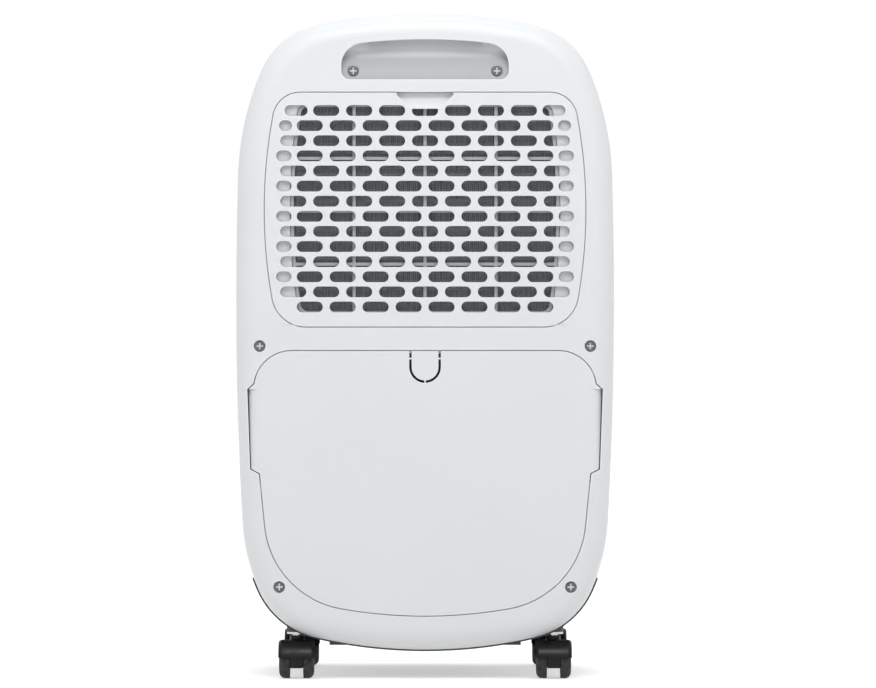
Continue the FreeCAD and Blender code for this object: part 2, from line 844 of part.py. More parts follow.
def make_screws():
    cover_y = rear_y + d.screw_recess_depth
    reach_y = d.split_y - cover_y + 14
    cover = [
        cross_screw(f"cover_screw_{number}", x, cover_y, z, reach_y)
        for number, (x, z) in enumerate(SCREWS, start=1)
    ]
    node(group("cover_screws", *cover), "cover_screws")
    grip = [
        cross_screw(f"grip_screw_{number}", x, GRIP_HEAD_Y, z, 9.0)
        for number, (x, z) in enumerate(GRIP_SCREWS, start=1)
    ]
    node(group("grip_screws", *grip), "grip_screws")


def wedge(name, corners, half_width):
    return along_x(f"{name}_prism", polygon(free_sketch(f"{name}_line", "YZ"), corners), half_width)


def make_hand_grip():
    """A cup behind the opening, whose back slopes up into a hollow over the top edge."""
    wall = d.grip_wall
    back_y = GRIP_FRONT_Y + d.grip_depth
    bottom = d.grip_bottom
    hook_top = d.grip_top + 8
    ramp = [
        (GRIP_FRONT_Y + 0.6, bottom),
        (GRIP_FRONT_Y + 3, bottom + 10),
        (GRIP_FRONT_Y + 8, bottom + 19),
        (GRIP_FRONT_Y + 16, bottom + 28),
        (back_y, hook_top),
    ]
    front = GRIP_FRONT_Y - 3
    hook_half = d.grip_half_width - 23
    hook_y = GRIP_FRONT_Y + 4.5
    hollow = common(
        "grip_hollow",
        fuse(
            "grip_room",
            along_y("grip_room_prism", grip_line, front, back_y),
            box("hook_room", (-hook_half, hook_half), (hook_y, back_y), (d.grip_top - 10, hook_top)),
        ),
        wedge("grip_hollow", [(front, bottom - 2), *ramp, (front, hook_top)], 90),
    )
    grown = [(y + wall, z - wall) for y, z in ramp[:-1]]
    mass = common(
        "grip_mass",
        fuse(
            "grip_block",
            along_y("grip_block_prism", widen("grip_block_line", grip_line, wall), GRIP_FRONT_Y,
                    back_y + wall),
            box("hook_block", (-hook_half - wall, hook_half + wall), (hook_y - wall, back_y + wall),
                (d.grip_top - 8, hook_top + wall)),
        ),
        wedge("grip_mass", [(GRIP_FRONT_Y, bottom - 3), *grown, (back_y + wall, hook_top - wall),
                            (back_y + wall, hook_top + wall), (GRIP_FRONT_Y, hook_top + wall)], 90),
    )
    flange = along_y("grip_flange", widen("grip_flange_line", grip_line, 5), GRIP_FRONT_Y,
                     GRIP_FRONT_Y + 1.6)
    bosses = rods_along_y("grip_boss", GRIP_SCREWS, 6.6, GRIP_FRONT_Y + 0.6, GRIP_HEAD_Y + 10)
    recesses = rods_along_y(
        "grip_recess", GRIP_SCREWS, d.screw_recess_radius, front, GRIP_HEAD_Y + 2
    )
    holes = rods_along_y("grip_hole", GRIP_SCREWS, SCREW_PILOT, front, GRIP_HEAD_Y + 12)
    solid = fuse("grip_solid", mass, flange, *bosses)
    node(cut("hand_grip", solid, hollow, *recesses, *holes), "hand_grip")


# ---------------------------------------------------------------- intake grille and filter

PANEL_BACK_Y = rear_y + d.panel_thickness
SHORT_SLOT = 13.6
SHORT_SLOT_X = 124.3
TOP_END_SLOT = 20.3
TOP_END_X = 113.5
SECOND_END_SLOT = 11.4
SECOND_END_X = 122.8


def slot_rows():
    """Every slot as (x, z, length): odd rows hold nine, even rows eight and two short."""
    pitch = d.slot_pitch
    for row in range(int(d.row_count.number)):
        z = d.row_top - d.row_pitch * row
        if row % 2 == 0:
            for step in range(-3, 4):
                yield pitch * step, z, d.slot_length
            end_x, end_length = (TOP_END_X, TOP_END_SLOT) if row == 0 else (pitch * 4, d.slot_length)
        else:
            for step in range(-4, 4):
                yield pitch * (step + 0.5), z, d.slot_length
            end_x, end_length = (
                (SECOND_END_X, SECOND_END_SLOT) if row == 1 else (SHORT_SLOT_X, SHORT_SLOT)
            )
        if row < d.row_count.number - 1:
            yield -as_size(end_x), z, end_length
            yield as_size(end_x), z, end_length


def slot_prism(x, z, length):
    """One round-ended slot through the panel."""
    radius = float(d.slot_height) / 2
    half = float(length) / 2 - radius
    y = float(rear_y) - 1
    up = Vector(0, 0, radius)
    left = Vector(float(x) - half, y, float(z))
    right = Vector(float(x) + half, y, float(z))
    outward = Vector(radius, 0, 0)
    outline = Part.Wire([
        Part.LineSegment(left - up, right - up).toShape(),
        Part.Arc(right - up, right + outward, right + up).toShape(),
        Part.LineSegment(right + up, left + up).toShape(),
        Part.Arc(left + up, left - outward, left - up).toShape(),
    ])
    return Part.Face(outline).extrude(Vector(0, float(d.panel_thickness) + 2, 0))


def tab_outline(sketch, grow=0.0):
    """The pull tab's mouth, narrower at the bottom."""
    corners = [
        (-d.tab_bottom_half - grow, d.panel_top - d.tab_height - grow),
        (d.tab_bottom_half + grow, d.panel_top - d.tab_height - grow),
        (d.tab_top_half + grow, d.panel_top - 2.0),
        (d.tab_top_half + grow, d.panel_top),
        (-d.tab_top_half - grow, d.panel_top),
        (-d.tab_top_half - grow, d.panel_top - 2.0),
    ]
    return polygon(sketch, corners)


def make_grille():
    plate = along_y("grille_plate", panel_line, rear_y, PANEL_BACK_Y)
    slot_cuts = doc.addObject("Part::Feature", "slot_cuts")
    slot_cuts.Shape = Part.makeCompound([slot_prism(*place_and_size) for place_and_size in slot_rows()])
    wall = 1.2
    tab_bottom = d.panel_top - d.tab_height
    tab_back = rear_y + d.tab_depth
    mouth = common(
        "tab_mouth",
        along_y("tab_mouth_prism", tab_outline(free_sketch("tab_mouth_line")), rear_y - 1, tab_back),
        wedge("tab_mouth_wedge", [(rear_y - 1, tab_bottom - 1), (rear_y + 0.6, tab_bottom),
                                  (tab_back, d.panel_top - 4), (tab_back, d.panel_top),
                                  (rear_y - 1, d.panel_top)], 40),
    )
    cup = common(
        "tab_cup",
        along_y("tab_cup_prism", tab_outline(free_sketch("tab_cup_line"), wall), rear_y,
                tab_back + wall),
        wedge("tab_cup_wedge", [(rear_y, tab_bottom - wall), (PANEL_BACK_Y, tab_bottom - wall),
                                (tab_back + wall, d.panel_top - 4 - wall),
                                (tab_back + wall, d.panel_top), (rear_y, d.panel_top)], 40),
    )
    slotted = cut("grille_slotted", plate, slot_cuts)
    pins = hinge_rods("hinge_pin", HINGE_RADIUS, HINGE_REACH)
    node(cut("intake_grille", fuse("grille_solid", slotted, cup, *pins), mouth), "intake_grille")


FILTER_Y = (Size(-116.4), Size(-116.4) + d.filter_depth)
FILTER_GAP = 0.5
FILTER_PEG_RADIUS = 1.4
PEG_ROWS = (1.5, 11.5)


def make_filter():
    """A ribbed frame in the window, with a thin mesh behind its ribs."""
    outer = widen("filter_outer", window_line, -FILTER_GAP)
    inner = widen("filter_inner", window_line, -FILTER_GAP - d.filter_border)
    frame = cut(
        "filter_rim",
        along_y("filter_blank", outer, *FILTER_Y),
        along_y("filter_hole", inner, FILTER_Y[0] - 1, FILTER_Y[1] + 1),
    )
    inside = along_y("filter_inside", inner, *FILTER_Y)
    middle_z = (d.window_bottom + d.window_top) / 2 - 1.8
    half = d.filter_rib / 2
    columns = [
        box(f"filter_column_{n}", (x - half, x + half), FILTER_Y, (d.window_bottom, d.window_top))
        for n, x in enumerate((-d.filter_column_pitch, Size(0), d.filter_column_pitch), start=1)
    ]
    rows = [
        box(f"filter_row_{n}", (-d.window_half_width, d.window_half_width), FILTER_Y,
            (middle_z + d.filter_row_pitch * n - half, middle_z + d.filter_row_pitch * n + half))
        for n in (-1, 0, 1)
    ]
    ribs = common("filter_ribs", fuse("filter_lattice", *columns, *rows), inside)
    pegs = [
        rod(f"filter_peg_{row:g}_{side}", "y",
            (d.filter_column_pitch * side, PANEL_BACK_Y, d.row_top - d.row_pitch * row),
            FILTER_PEG_RADIUS, FILTER_Y[0] - PANEL_BACK_Y + 1)
        for row in PEG_ROWS
        for side in (-1, 1)
    ]
    node(fuse("filter_frame", frame, ribs, *pegs), "filter_frame")
    mesh_line = widen("filter_mesh_line", window_line, -FILTER_GAP - 1)
    mesh = along_y("filter_mesh", mesh_line, FILTER_Y[1], FILTER_Y[1] + 0.6)
    node(mesh, "filter_mesh")


# ---------------------------------------------------------------- water tank

BUCKET_FRONT_Y = inner_rear_y + 0.3
GRIP_CURVE_RADIUS = 12.0
GRIP_EDGE_X = Size(144.5)


def bucket_outline(name, inset, rim_z):
    """The bucket's section, inset evenly: straight sides and wide lower corners."""
    half = d.bucket_half_width - inset
    bottom = d.bucket_bottom + inset
    radius = d.bucket_corner - inset
    centre = (half - radius, bottom + radius)
    quarter = math.pi / 2
    loop = Outline(free_sketch(name))
    edge = loop.line((-centre[0], bottom), (centre[0], bottom), smooth=True)
    loop.level(edge, bottom)
    loop.arc(centre, radius, -quarter, 0)
    edge = loop.line((half, centre[1]), (half, rim_z), smooth=True)
    loop.upright(edge, half)
    edge = loop.line((half, rim_z), (-half, rim_z))
    loop.level(edge, rim_z)
    edge = loop.line((-half, rim_z), (-half, centre[1]), smooth=True)
    loop.upright(edge, -half)
    loop.arc((-centre[0], centre[1]), radius, math.pi, 3 * quarter)
    return loop.close()


def knockout_cut():
    """A U-shaped slot open to the top edge, bridged by three break-off tabs."""
    half_slot = d.knockout_slot / 2
    outer = d.knockout_radius + half_slot
    inner = d.knockout_radius - half_slot
    depth = (rear_y - 1, inner_rear_y + 1)
    span = depth[1] - depth[0]
    above = d.tank_top + 1
    big = fuse(
        "knockout_big",
        rod("knockout_big_round", "y", (0, depth[0], d.knockout_z), outer, span),
        box("knockout_big_top", (-outer, outer), depth, (d.knockout_z, above)),
    )
    small = fuse(
        "knockout_small",
        rod("knockout_small_round", "y", (0, depth[0] - 1, d.knockout_z), inner, span + 2),
        box("knockout_small_top", (-inner, inner), (depth[0] - 1, depth[1] + 1),
            (d.knockout_z, above + 1)),
    )
    half_tab = d.knockout_tab / 2
    side_tab_z = d.knockout_z + 7.5
    side_tab = box("knockout_side_tab", (-outer - 1, outer + 1), depth,
                   (side_tab_z - half_tab, side_tab_z + half_tab))
    low_tab = box("knockout_low_tab", (-half_tab, half_tab), depth,
                  (d.knockout_z - outer - 1, d.knockout_z))
    return cut("knockout", big, small, side_tab, low_tab)


def finger_grip(side):
    """A curved wall that turns inward at one side of the tank front."""
    sign = -1 if side == "left" else 1
    centre = (GRIP_EDGE_X * sign, rear_y + GRIP_CURVE_RADIUS)
    wall = d.wall
    z = (d.tank_step_z + d.tank_gap, d.tank_shoulder_z)
    height = z[1] - z[0]
    reach_x = GRIP_EDGE_X + GRIP_CURVE_RADIUS
    start = (centre[0], centre[1], z[0])
    outer = rod(f"{side}_grip_outer", "z", start, GRIP_CURVE_RADIUS, height)
    inner = rod(f"{side}_grip_inner", "z", start, GRIP_CURVE_RADIUS - wall, height)
    quarter_x = (GRIP_EDGE_X, reach_x + 1) if sign > 0 else (-reach_x - 1, -GRIP_EDGE_X)
    quarter = box(f"{side}_grip_quarter", quarter_x, (rear_y - 1, centre[1]), z)
    skirt_x = (reach_x - wall, reach_x) if sign > 0 else (-reach_x, wall - reach_x)
    skirt = box(f"{side}_grip_skirt", skirt_x, (centre[1], centre[1] + 4), z)
    bend = common(f"{side}_grip_bend", cut(f"{side}_grip_tube", outer, inner), quarter)
    return fuse(f"{side}_grip", bend, skirt)


def make_tank():
    face_line = widen("tank_face_line", tank_line, -d.tank_gap)
    face_prism = along_y("tank_face_prism", face_line, rear_y - 1, rear_y + 20)
    skin = common("tank_skin", rear_shell, face_prism)
    far = d.tank_shoulder_x + 5
    z = (d.tank_step_z + d.tank_gap, d.tank_shoulder_z)
    clear = [
        box(f"grip_clear_{name}", x, (rear_y - 1, rear_y + 21), z)
        for name, x in (("left", (-far, -GRIP_EDGE_X)), ("right", (GRIP_EDGE_X, far)))
    ]
    trimmed = cut("tank_trimmed", skin, *clear, knockout_cut())
    face = common(
        "tank_front",
        fuse("tank_front_blank", trimmed, finger_grip("left"), finger_grip("right")),
        along_y("tank_front_prism", face_line, rear_y - 1, rear_y + 30),
    )
    node(face, "tank_front")
    back_y = BUCKET_FRONT_Y + d.tank_depth
    hose_notch = box("hose_notch", (-19, 19), (BUCKET_FRONT_Y - 1, BUCKET_FRONT_Y + d.tank_wall + 1),
                     (d.knockout_z - 19, d.bucket_top + 1))
    outer_line = bucket_outline("bucket_outer_line", 0.0, d.bucket_top)
    inner_line = bucket_outline("bucket_inner_line", d.tank_wall, d.bucket_top + 2)
    bucket = cut(
        "tank_bucket",
        along_y("bucket_outside", outer_line, BUCKET_FRONT_Y, back_y),
        along_y("bucket_inside", inner_line, BUCKET_FRONT_Y + d.tank_wall, back_y - d.tank_wall),
        hose_notch,
    )
    node(bucket, "tank_bucket")
    make_lid_and_float(back_y)


SPOUT_Y = -80.0
SPOUT_RADIUS = 6.0
FLOAT_X = (Size(86), Size(112))
FLOAT_PIVOT = (Size(-36), Size(276))
FLOAT_PIN_RADIUS = 1.5


def make_lid_and_float(back_y):
    rim_z = d.bucket_top + 0.3
    half = d.bucket_half_width
    plate = box("lid_plate", (-half, half), (BUCKET_FRONT_Y + 6, back_y), (rim_z, rim_z + 2))
    inlet = rod("lid_inlet", "z", (0, SPOUT_Y, rim_z - 1), SPOUT_RADIUS + 5, 5)
    pivot_y, pivot_z = FLOAT_PIVOT
    lug_wall = 2.0
    lugs = [
        box(f"float_lug_{n}", (x, x + lug_wall), (pivot_y - 3.5, pivot_y + 3.5), (pivot_z - 3.5, rim_z + 1))
        for n, x in enumerate((FLOAT_X[0] - lug_wall - 0.5, FLOAT_X[1] + 0.5), start=1)
    ]
    lug_holes = rod("lug_holes", "x", (FLOAT_X[0] - 4, pivot_y, pivot_z), FLOAT_PIN_RADIUS + 0.05,
                    FLOAT_X[1] - FLOAT_X[0] + 8)
    node(cut("tank_lid", fuse("lid_solid", plate, *lugs), inlet, lug_holes), "tank_lid")
    block = box("float_block", FLOAT_X, (pivot_y - 9, pivot_y + 9), (pivot_z - 52, pivot_z - 24))
    arm = box("float_arm", (FLOAT_X[0] + 9, FLOAT_X[1] - 9), (pivot_y - 2, pivot_y + 2),
              (pivot_z - 30, pivot_z))
    barrel = rod("float_barrel", "x", (FLOAT_X[0], pivot_y, pivot_z), 3.0, FLOAT_X[1] - FLOAT_X[0])
    pin = rod("float_pin", "x", (FLOAT_X[0] - 2.5, pivot_y, pivot_z), FLOAT_PIN_RADIUS,
              FLOAT_X[1] - FLOAT_X[0] + 5)
    node(fuse("tank_float", block, arm, barrel, pin), "tank_float")


# ---------------------------------------------------------------- base and castors

CASTORS = [
    (name, d.castor_x * side, d.castor_y * end)
    for name, side, end in (
        ("rear_left", -1, -1), ("rear_right", 1, -1), ("front_left", -1, 1), ("front_right", 1, 1)
    )
]
SOCKET_LOW = Size(38.8)
SOCKET_RIM = 1.8
SOCKET_RIM_RADIUS = d.socket_radius + 1.2
GLAND = (Size(18), Size(60))
GLAND_RADIUS = 9.0
GLAND_PLAY = 0.1
GLAND_BORE = 4.0
GLAND_LOW_Z = Size(21.5)
GLAND_HEIGHT = 8.0
GLAND_NUT_RADIUS = 12.0
GLAND_NUT_HEIGHT = 4.0
GLAND_NUT_Z = Size(28.6)
RAIL_X = 50.0
RAIL_HALF_WIDTH = 2.0
FOOT_INNER_X = Size(52)
FOOT_INSET = 6.0
FOOT_TOP_Z = 36.0
MOUNTS = [
    (d.compressor_x + x, d.compressor_y + y) for x in (-49, 49) for y in (-37, 37)
]
MOUNT_BOLT_RADIUS = 3.0


def make_base():
    half = d.base_half_depth
    wall = ring_prism("base_wall_ring", casing_line, d.base_rim, d.base_rim - d.base_wall, -half, half)
    reach_x = d.body_half_width + 5
    low = box("base_low", (-reach_x, reach_x), (-half, half), (0, d.base_top))
    tray = common("base_tray", wall, low)
    inside = along_y(
        "base_inside", widen("base_inside_line", casing_line, d.base_rim - d.base_wall + 0.2),
        -half, half,
    )
    deck_box = box("deck_box", (-reach_x, reach_x), (-half, half),
                   (d.deck_z, d.deck_z + d.deck_thickness))
    deck = common("deck", deck_box, inside)
    rail_depth = (1 - half, Size(-12))
    rails = [
        box(f"tank_rail_{n}", (x - RAIL_HALF_WIDTH, x + RAIL_HALF_WIDTH), rail_depth,
            (d.deck_z + 1, d.bucket_bottom - 0.3))
        for n, x in enumerate((-RAIL_X, RAIL_X), start=1)
    ]
    foot_depth = (-half + FOOT_INSET, half - FOOT_INSET)
    foot_height = (d.foot_bottom, FOOT_TOP_Z)
    feet = [
        box("foot_left", (-d.foot_half_width, -FOOT_INNER_X), foot_depth, foot_height),
        box("foot_right", (FOOT_INNER_X, d.foot_half_width), foot_depth, foot_height),
    ]
    bosses = [
        rod(f"{name}_boss", "z", (x, y, SOCKET_LOW + SOCKET_RIM), SOCKET_RIM_RADIUS + 0.2,
            d.deck_z + 1 - SOCKET_LOW - SOCKET_RIM)
        for name, x, y in CASTORS
    ]
    socket_holes = [
        rod(f"{name}_socket_hole", "z", (x, y, SOCKET_LOW), d.socket_radius, 40)
        for name, x, y in CASTORS
    ]
    pocket_low = d.foot_bottom - 4
    rim_pockets = [
        rod(f"{name}_rim_pocket", "z", (x, y, pocket_low), SOCKET_RIM_RADIUS,
            SOCKET_LOW + SOCKET_RIM - pocket_low)
        for name, x, y in CASTORS
    ]
    bolt_holes = [
        rod(f"bolt_hole_{n}", "z", (x, y, d.deck_z - 2), MOUNT_BOLT_RADIUS, 10)
        for n, (x, y) in enumerate(MOUNTS, start=1)
    ]
    below_gland = GLAND_LOW_Z - 5
    gland_hole = rod("gland_hole", "z", (*GLAND, below_gland), GLAND_RADIUS + GLAND_PLAY, 20)
    solid = fuse("base_solid", tray, deck, *rails, *feet, *bosses)
    node(cut("base_pan", solid, gland_hole, *rim_pockets, *socket_holes, *bolt_holes), "base_pan")
    gland = cut(
        "cord_gland",
        fuse(
            "gland_solid",
            rod("gland_body", "z", (*GLAND, GLAND_LOW_Z), GLAND_RADIUS, GLAND_HEIGHT),
            rod("gland_nut", "z", (*GLAND, GLAND_NUT_Z), GLAND_NUT_RADIUS, GLAND_NUT_HEIGHT),
        ),
        rod("gland_bore", "z", (*GLAND, below_gland), GLAND_BORE, 20),
    )
    node(gland, "cord_gland")
    sockets = [
        cut(
            f"{name}_socket",
            fuse(
                f"{name}_socket_solid",
                rod(f"{name}_socket_rim", "z", (x, y, SOCKET_LOW), SOCKET_RIM_RADIUS, SOCKET_RIM),
                rod(f"{name}_socket_tube", "z", (x, y, SOCKET_LOW), d.socket_radius,
                    d.socket_top - SOCKET_LOW),
            ),
            rod(f"{name}_socket_bore", "z", (x, y, SOCKET_LOW - 1), d.stem_radius + 0.05,
                d.socket_top - SOCKET_LOW - 1),
        )
        for name, x, y in CASTORS
    ]
    node(group("castor_sockets", *sockets), "castor_sockets")


def domed_disc(name, low_x, high_x, bulge, radius, bore):
    """A disc about the axle line whose +X rim is rounded, in castor coordinates."""
    axle_z = d.wheel_radius
    shoulder_z = axle_z + radius - bulge
    flat_x = high_x - bulge
    loop = Outline(free_sketch(f"{name}_line"))
    edge = loop.line((low_x, axle_z + bore), (high_x, axle_z + bore))
    loop.pin(edge, START, low_x, axle_z + bore)
    loop.pin(edge, END, high_x, axle_z + bore)
    loop.line((high_x, axle_z + bore), (high_x, shoulder_z))
    edge = loop.arc((flat_x, shoulder_z), bulge, 0, math.pi / 2, smooth=False)
    loop.pin(edge, START, None, shoulder_z)
    loop.pin(edge, CENTRE, flat_x, shoulder_z)
    edge = loop.line((flat_x, axle_z + radius), (low_x, axle_z + radius))
    loop.pin(edge, START, flat_x)
    loop.pin(edge, END, low_x, axle_z + radius)
    loop.line((low_x, axle_z + radius), (low_x, axle_z + bore))
    axis_base = Vector(0, 0, float(axle_z))
    return turned(name, loop.close(), axis_base, Vector(1, 0, 0))


def both_sides(name, solid):
    """The solid and its mirror image across the YZ plane."""
    mirrored = doc.addObject("Part::Mirroring", f"{name}_mirror")
    mirrored.Source = solid
    mirrored.Normal = Vector(1, 0, 0)
    return [solid, mirrored]


WEB_HALF = 5.6
HOOD_BULGE = Size(4.5)
WHEEL_BULGE = Size(5.3)
HOOD_HEM_Z = 19.0
WEB_LOW_Z = 9.8
BOSS_TOP_Z = 37.4
STEM_LOW_Z = 24.0


def make_hood(name):
    """A domed cover over both wheels, with a middle web and the stem's boss."""
    width = d.hood_half_width
    dome = domed_disc(f"{name}_dome", Size(0), width, HOOD_BULGE, d.hood_radius, 0)
    blank = fuse(
        f"{name}_hood_blank",
        *both_sides(f"{name}_dome", dome),
        rod(f"{name}_boss_stem", "z", (0, d.castor_trail, 20), 6.4, BOSS_TOP_Z - 20),
    )
    wells = [
        rod(f"{name}_well_{n}", "x", (x, 0, d.wheel_radius), d.hood_radius - d.hood_wall, 20)
        for n, x in enumerate((-20 - WEB_HALF, WEB_HALF), start=1)
    ]
    hems = [
        box(f"{name}_hem_{n}", (x, x + 20), (-30, 30), (-5, HOOD_HEM_Z))
        for n, x in enumerate((-20 - WEB_HALF, WEB_HALF), start=1)
    ]
    below = box(f"{name}_below", (-WEB_HALF - 1, WEB_HALF + 1), (-30, 30), (-5, WEB_LOW_Z))
    axle_hole = rod(f"{name}_axle_hole", "x", (-6, 0, d.wheel_radius), d.axle_radius, 12)
    stem_hole = rod(f"{name}_stem_hole", "z", (0, d.castor_trail, STEM_LOW_Z), d.stem_radius, 30)
    return cut(f"{name}_hood", blank, *wells, *hems, below, axle_hole, stem_hole)


def make_castor(name, x, y):
    """One castor: hood, stem, axle and a pair of wheels, trailing toward -Y."""
    axle_y = y - d.castor_trail
    node(place(make_hood(name), x, axle_y), f"castor_{name}_hood")
    stem_top = d.socket_top - 3
    stem = rod(f"{name}_stem", "z", (x, y, STEM_LOW_Z), d.stem_radius, stem_top - STEM_LOW_Z)
    node(stem, f"castor_{name}_stem")
    axle_half = d.wheel_outer_x - 1.5
    axle = rod(f"{name}_axle", "x", (x - axle_half, axle_y, d.wheel_radius), d.axle_radius, axle_half * 2)
    node(axle, f"castor_{name}_axle")
    wheel = domed_disc(
        f"{name}_wheel", d.wheel_inner_x, d.wheel_outer_x, WHEEL_BULGE, d.wheel_radius,
        d.axle_radius + 0.05,
    )
    wheels = group(f"{name}_wheels", *both_sides(f"{name}_wheel", wheel))
    node(place(wheels, x, axle_y), f"castor_{name}_wheels")


# ---------------------------------------------------------------- inside the casing


def make_partition():
    """The wall and shelf that close off the tank bay."""
    half = d.coil_half_width + 6
    shelf_z = d.tank_top + 0.8
    wall = box("bay_wall", (-half, half), (-10, -7.5), (d.deck_z + d.deck_thickness, shelf_z + 2.4))
    shelf = box("bay_shelf", (-half, half), (-106, -7.5), (shelf_z, shelf_z + 2.4))
    spout_hole = rod("shelf_hole", "z", (0, SPOUT_Y, shelf_z - 1), SPOUT_RADIUS + 0.3, 5)
    node(cut("bay_partition", fuse("bay_solid", wall, shelf), spout_hole), "bay_partition")
    sensor = box("float_sensor", (88, 110), (-7.5, 2.5), (225, 250))
    node(sensor, "float_sensor")
    return shelf_z + 2.4


def make_drip_tray(floor_z):
    half = d.coil_half_width + 6
    wall = 1.6
    low, high = -106.0, -50.0
    rim_z = d.coil_bottom - 2
    outside = box("tray_outside", (-half, half), (low, high), (floor_z, rim_z))
    inside = box("tray_inside", (wall - half, half - wall), (low + wall, high - wall),
                 (floor_z + wall, rim_z + 1))
    spout_z = d.bucket_top + 4.5
    spout = rod("spout", "z", (0, SPOUT_Y, spout_z), SPOUT_RADIUS, floor_z - spout_z + 1)
    bore = rod("spout_bore", "z", (0, SPOUT_Y, spout_z - 1), SPOUT_RADIUS - wall, 14)
    node(cut("drip_tray", fuse("tray_solid", outside, spout), inside, bore), "drip_tray")


TUBE_ROWS = 8
TUBE_RADIUS = 4.0


def make_coil(name, low_y):
    """A finned block with two columns of tubes through it and end plates."""
    half = d.coil_half_width
    fins = box(f"{name}_fins", (-half, half), (low_y, low_y + d.coil_depth), (d.coil_bottom, d.coil_top))
    plates = [
        box(f"{name}_plate_{n}", (x, x + 1.2), (low_y - 1, low_y + d.coil_depth + 1),
            (d.coil_bottom - 1, d.coil_top + 1))
        for n, x in enumerate((-half - 1.2, half), start=1)
    ]
    pitch = (d.coil_top - d.coil_bottom) / TUBE_ROWS
    tubes = [
        rod(f"{name}_tube_{row}_{column}", "x",
            (-half - 5, low_y + d.coil_depth * (0.25 + 0.5 * column), d.coil_bottom + pitch * (row + 0.5)),
            TUBE_RADIUS, half * 2 + 10)
        for row in range(TUBE_ROWS)
        for column in range(2)
    ]
    node(fuse(name, fins, *plates, *tubes), name)


def make_fan_housing():
    """The scroll: a round chamber that opens up into the outlet duct."""
    wall = 2.0
    back_y = d.scroll_y + d.scroll_depth
    inside = (d.scroll_y + wall, back_y)
    duct_top = OUTLET_BOTTOM_Z - 0.4
    centre = (0, d.scroll_y + wall, d.fan_z)
    depth = back_y - d.scroll_y - wall
    half = d.duct_half_width
    outer = fuse(
        "scroll_outer",
        rod("scroll_drum", "y", centre, d.scroll_radius + wall, depth),
        box("duct_outside", (-half - wall, half + wall), inside, (d.fan_z, duct_top)),
    )
    inner = fuse(
        "scroll_inner",
        rod("scroll_bore", "y", centre, d.scroll_radius, depth),
        box("duct_inside", (-half, half), inside, (d.fan_z, duct_top + 1)),
    )
    plate_half = d.coil_half_width
    plates = [
        fuse(
            f"scroll_plate_{n}",
            box(f"scroll_plate_{n}_low", (-plate_half, plate_half), (y, y + wall),
                (d.coil_bottom, d.coil_top)),
            box(f"scroll_plate_{n}_high", (-half - wall, half + wall), (y, y + wall),
                (d.coil_top - 1, duct_top)),
        )
        for n, y in enumerate((d.scroll_y, back_y), start=1)
    ]
    inlet = rod("scroll_inlet", "y", (0, d.scroll_y - 1, d.fan_z), d.fan_radius - 12, wall + 2)
    shaft_hole = rod("scroll_shaft_hole", "y", (0, back_y - 1, d.fan_z), 9, wall + 2)
    node(cut("fan_housing", fuse("scroll_solid", cut("scroll_band", outer, inner), *plates),
             inlet, shaft_hole), "fan_housing")
    return back_y + wall


BLADE_COUNT = 24
SHAFT_RADIUS = 4.0


def origin_axis(body, role):
    return next(axis for axis in body.Origin.OriginFeatures if axis.Role == role)


def add_circle(sketch, radius):
    radius = as_size(radius)
    edge = sketch.addGeometry(Part.Circle(Vector(), Vector(0, 0, 1), radius.number), False)
    sketch.addConstraint(Sketcher.Constraint("Coincident", edge, CENTRE, ORIGIN, 1))
    index = sketch.addConstraint(Sketcher.Constraint("Radius", edge, radius.number))
    sketch.setExpression(f"Constraints[{index}]", radius.formula)


def circle_sketch(body, name, offset, radius):
    sketch = body_sketch(body, name, "XZ_Plane", offset)
    add_circle(sketch, radius)
    return sketch


def make_impeller():
    """A centrifugal wheel, built about its own origin and set on the fan's axis."""
    body = doc.addObject("PartDesign::Body", "fan_impeller")
    disc_y = d.scroll_y + 48
    disc = body.newObject("PartDesign::Pad", "impeller_disc")
    disc.Profile = circle_sketch(body, "impeller_disc_line", -disc_y, d.fan_radius)
    disc.Reversed = True
    bind(disc, "Length", Size(2.4))
    hub = body.newObject("PartDesign::Pad", "impeller_hub")
    hub.Profile = circle_sketch(body, "impeller_hub_line", -disc_y, Size(13))
    bind(hub, "Length", Size(22))
    bore = body.newObject("PartDesign::Pocket", "impeller_bore")
    bore.Profile = circle_sketch(body, "impeller_bore_line", -disc_y, Size(SHAFT_RADIUS))
    bore.Midplane = True
    bind(bore, "Length", Size(80))
    blade_sketch = body_sketch(body, "impeller_blade_line", "XZ_Plane", -disc_y)
    inner = d.fan_radius - 24
    outer = d.fan_radius - 1
    lean = 9.0
    thick = 1.8
    polygon(blade_sketch, [(lean, inner), (lean + thick, inner), (thick, outer), (Size(0), outer)])
    blade = body.newObject("PartDesign::Pad", "impeller_blade")
    blade.Profile = blade_sketch
    bind(blade, "Length", d.fan_depth)
    doc.recompute()
    blades = body.newObject("PartDesign::PolarPattern", "impeller_blades")
    blades.Originals = [blade]
    blades.Axis = (origin_axis(body, "Y_Axis"), [""])
    blades.Occurrences = BLADE_COUNT
    blades.Angle = 360
    body.Tip = blades
    rim = body.newObject("PartDesign::Pad", "impeller_rim")
    rim_sketch = body_sketch(body, "impeller_rim_line", "XZ_Plane", -disc_y + d.fan_depth)
    add_circle(rim_sketch, d.fan_radius)
    add_circle(rim_sketch, d.fan_radius - 11)
    rim.Profile = rim_sketch
    rim.Reversed = True
    bind(rim, "Length", Size(2.0))
    body.Tip = rim
    node(place(body, 0, 0, d.fan_z), "fan_impeller")


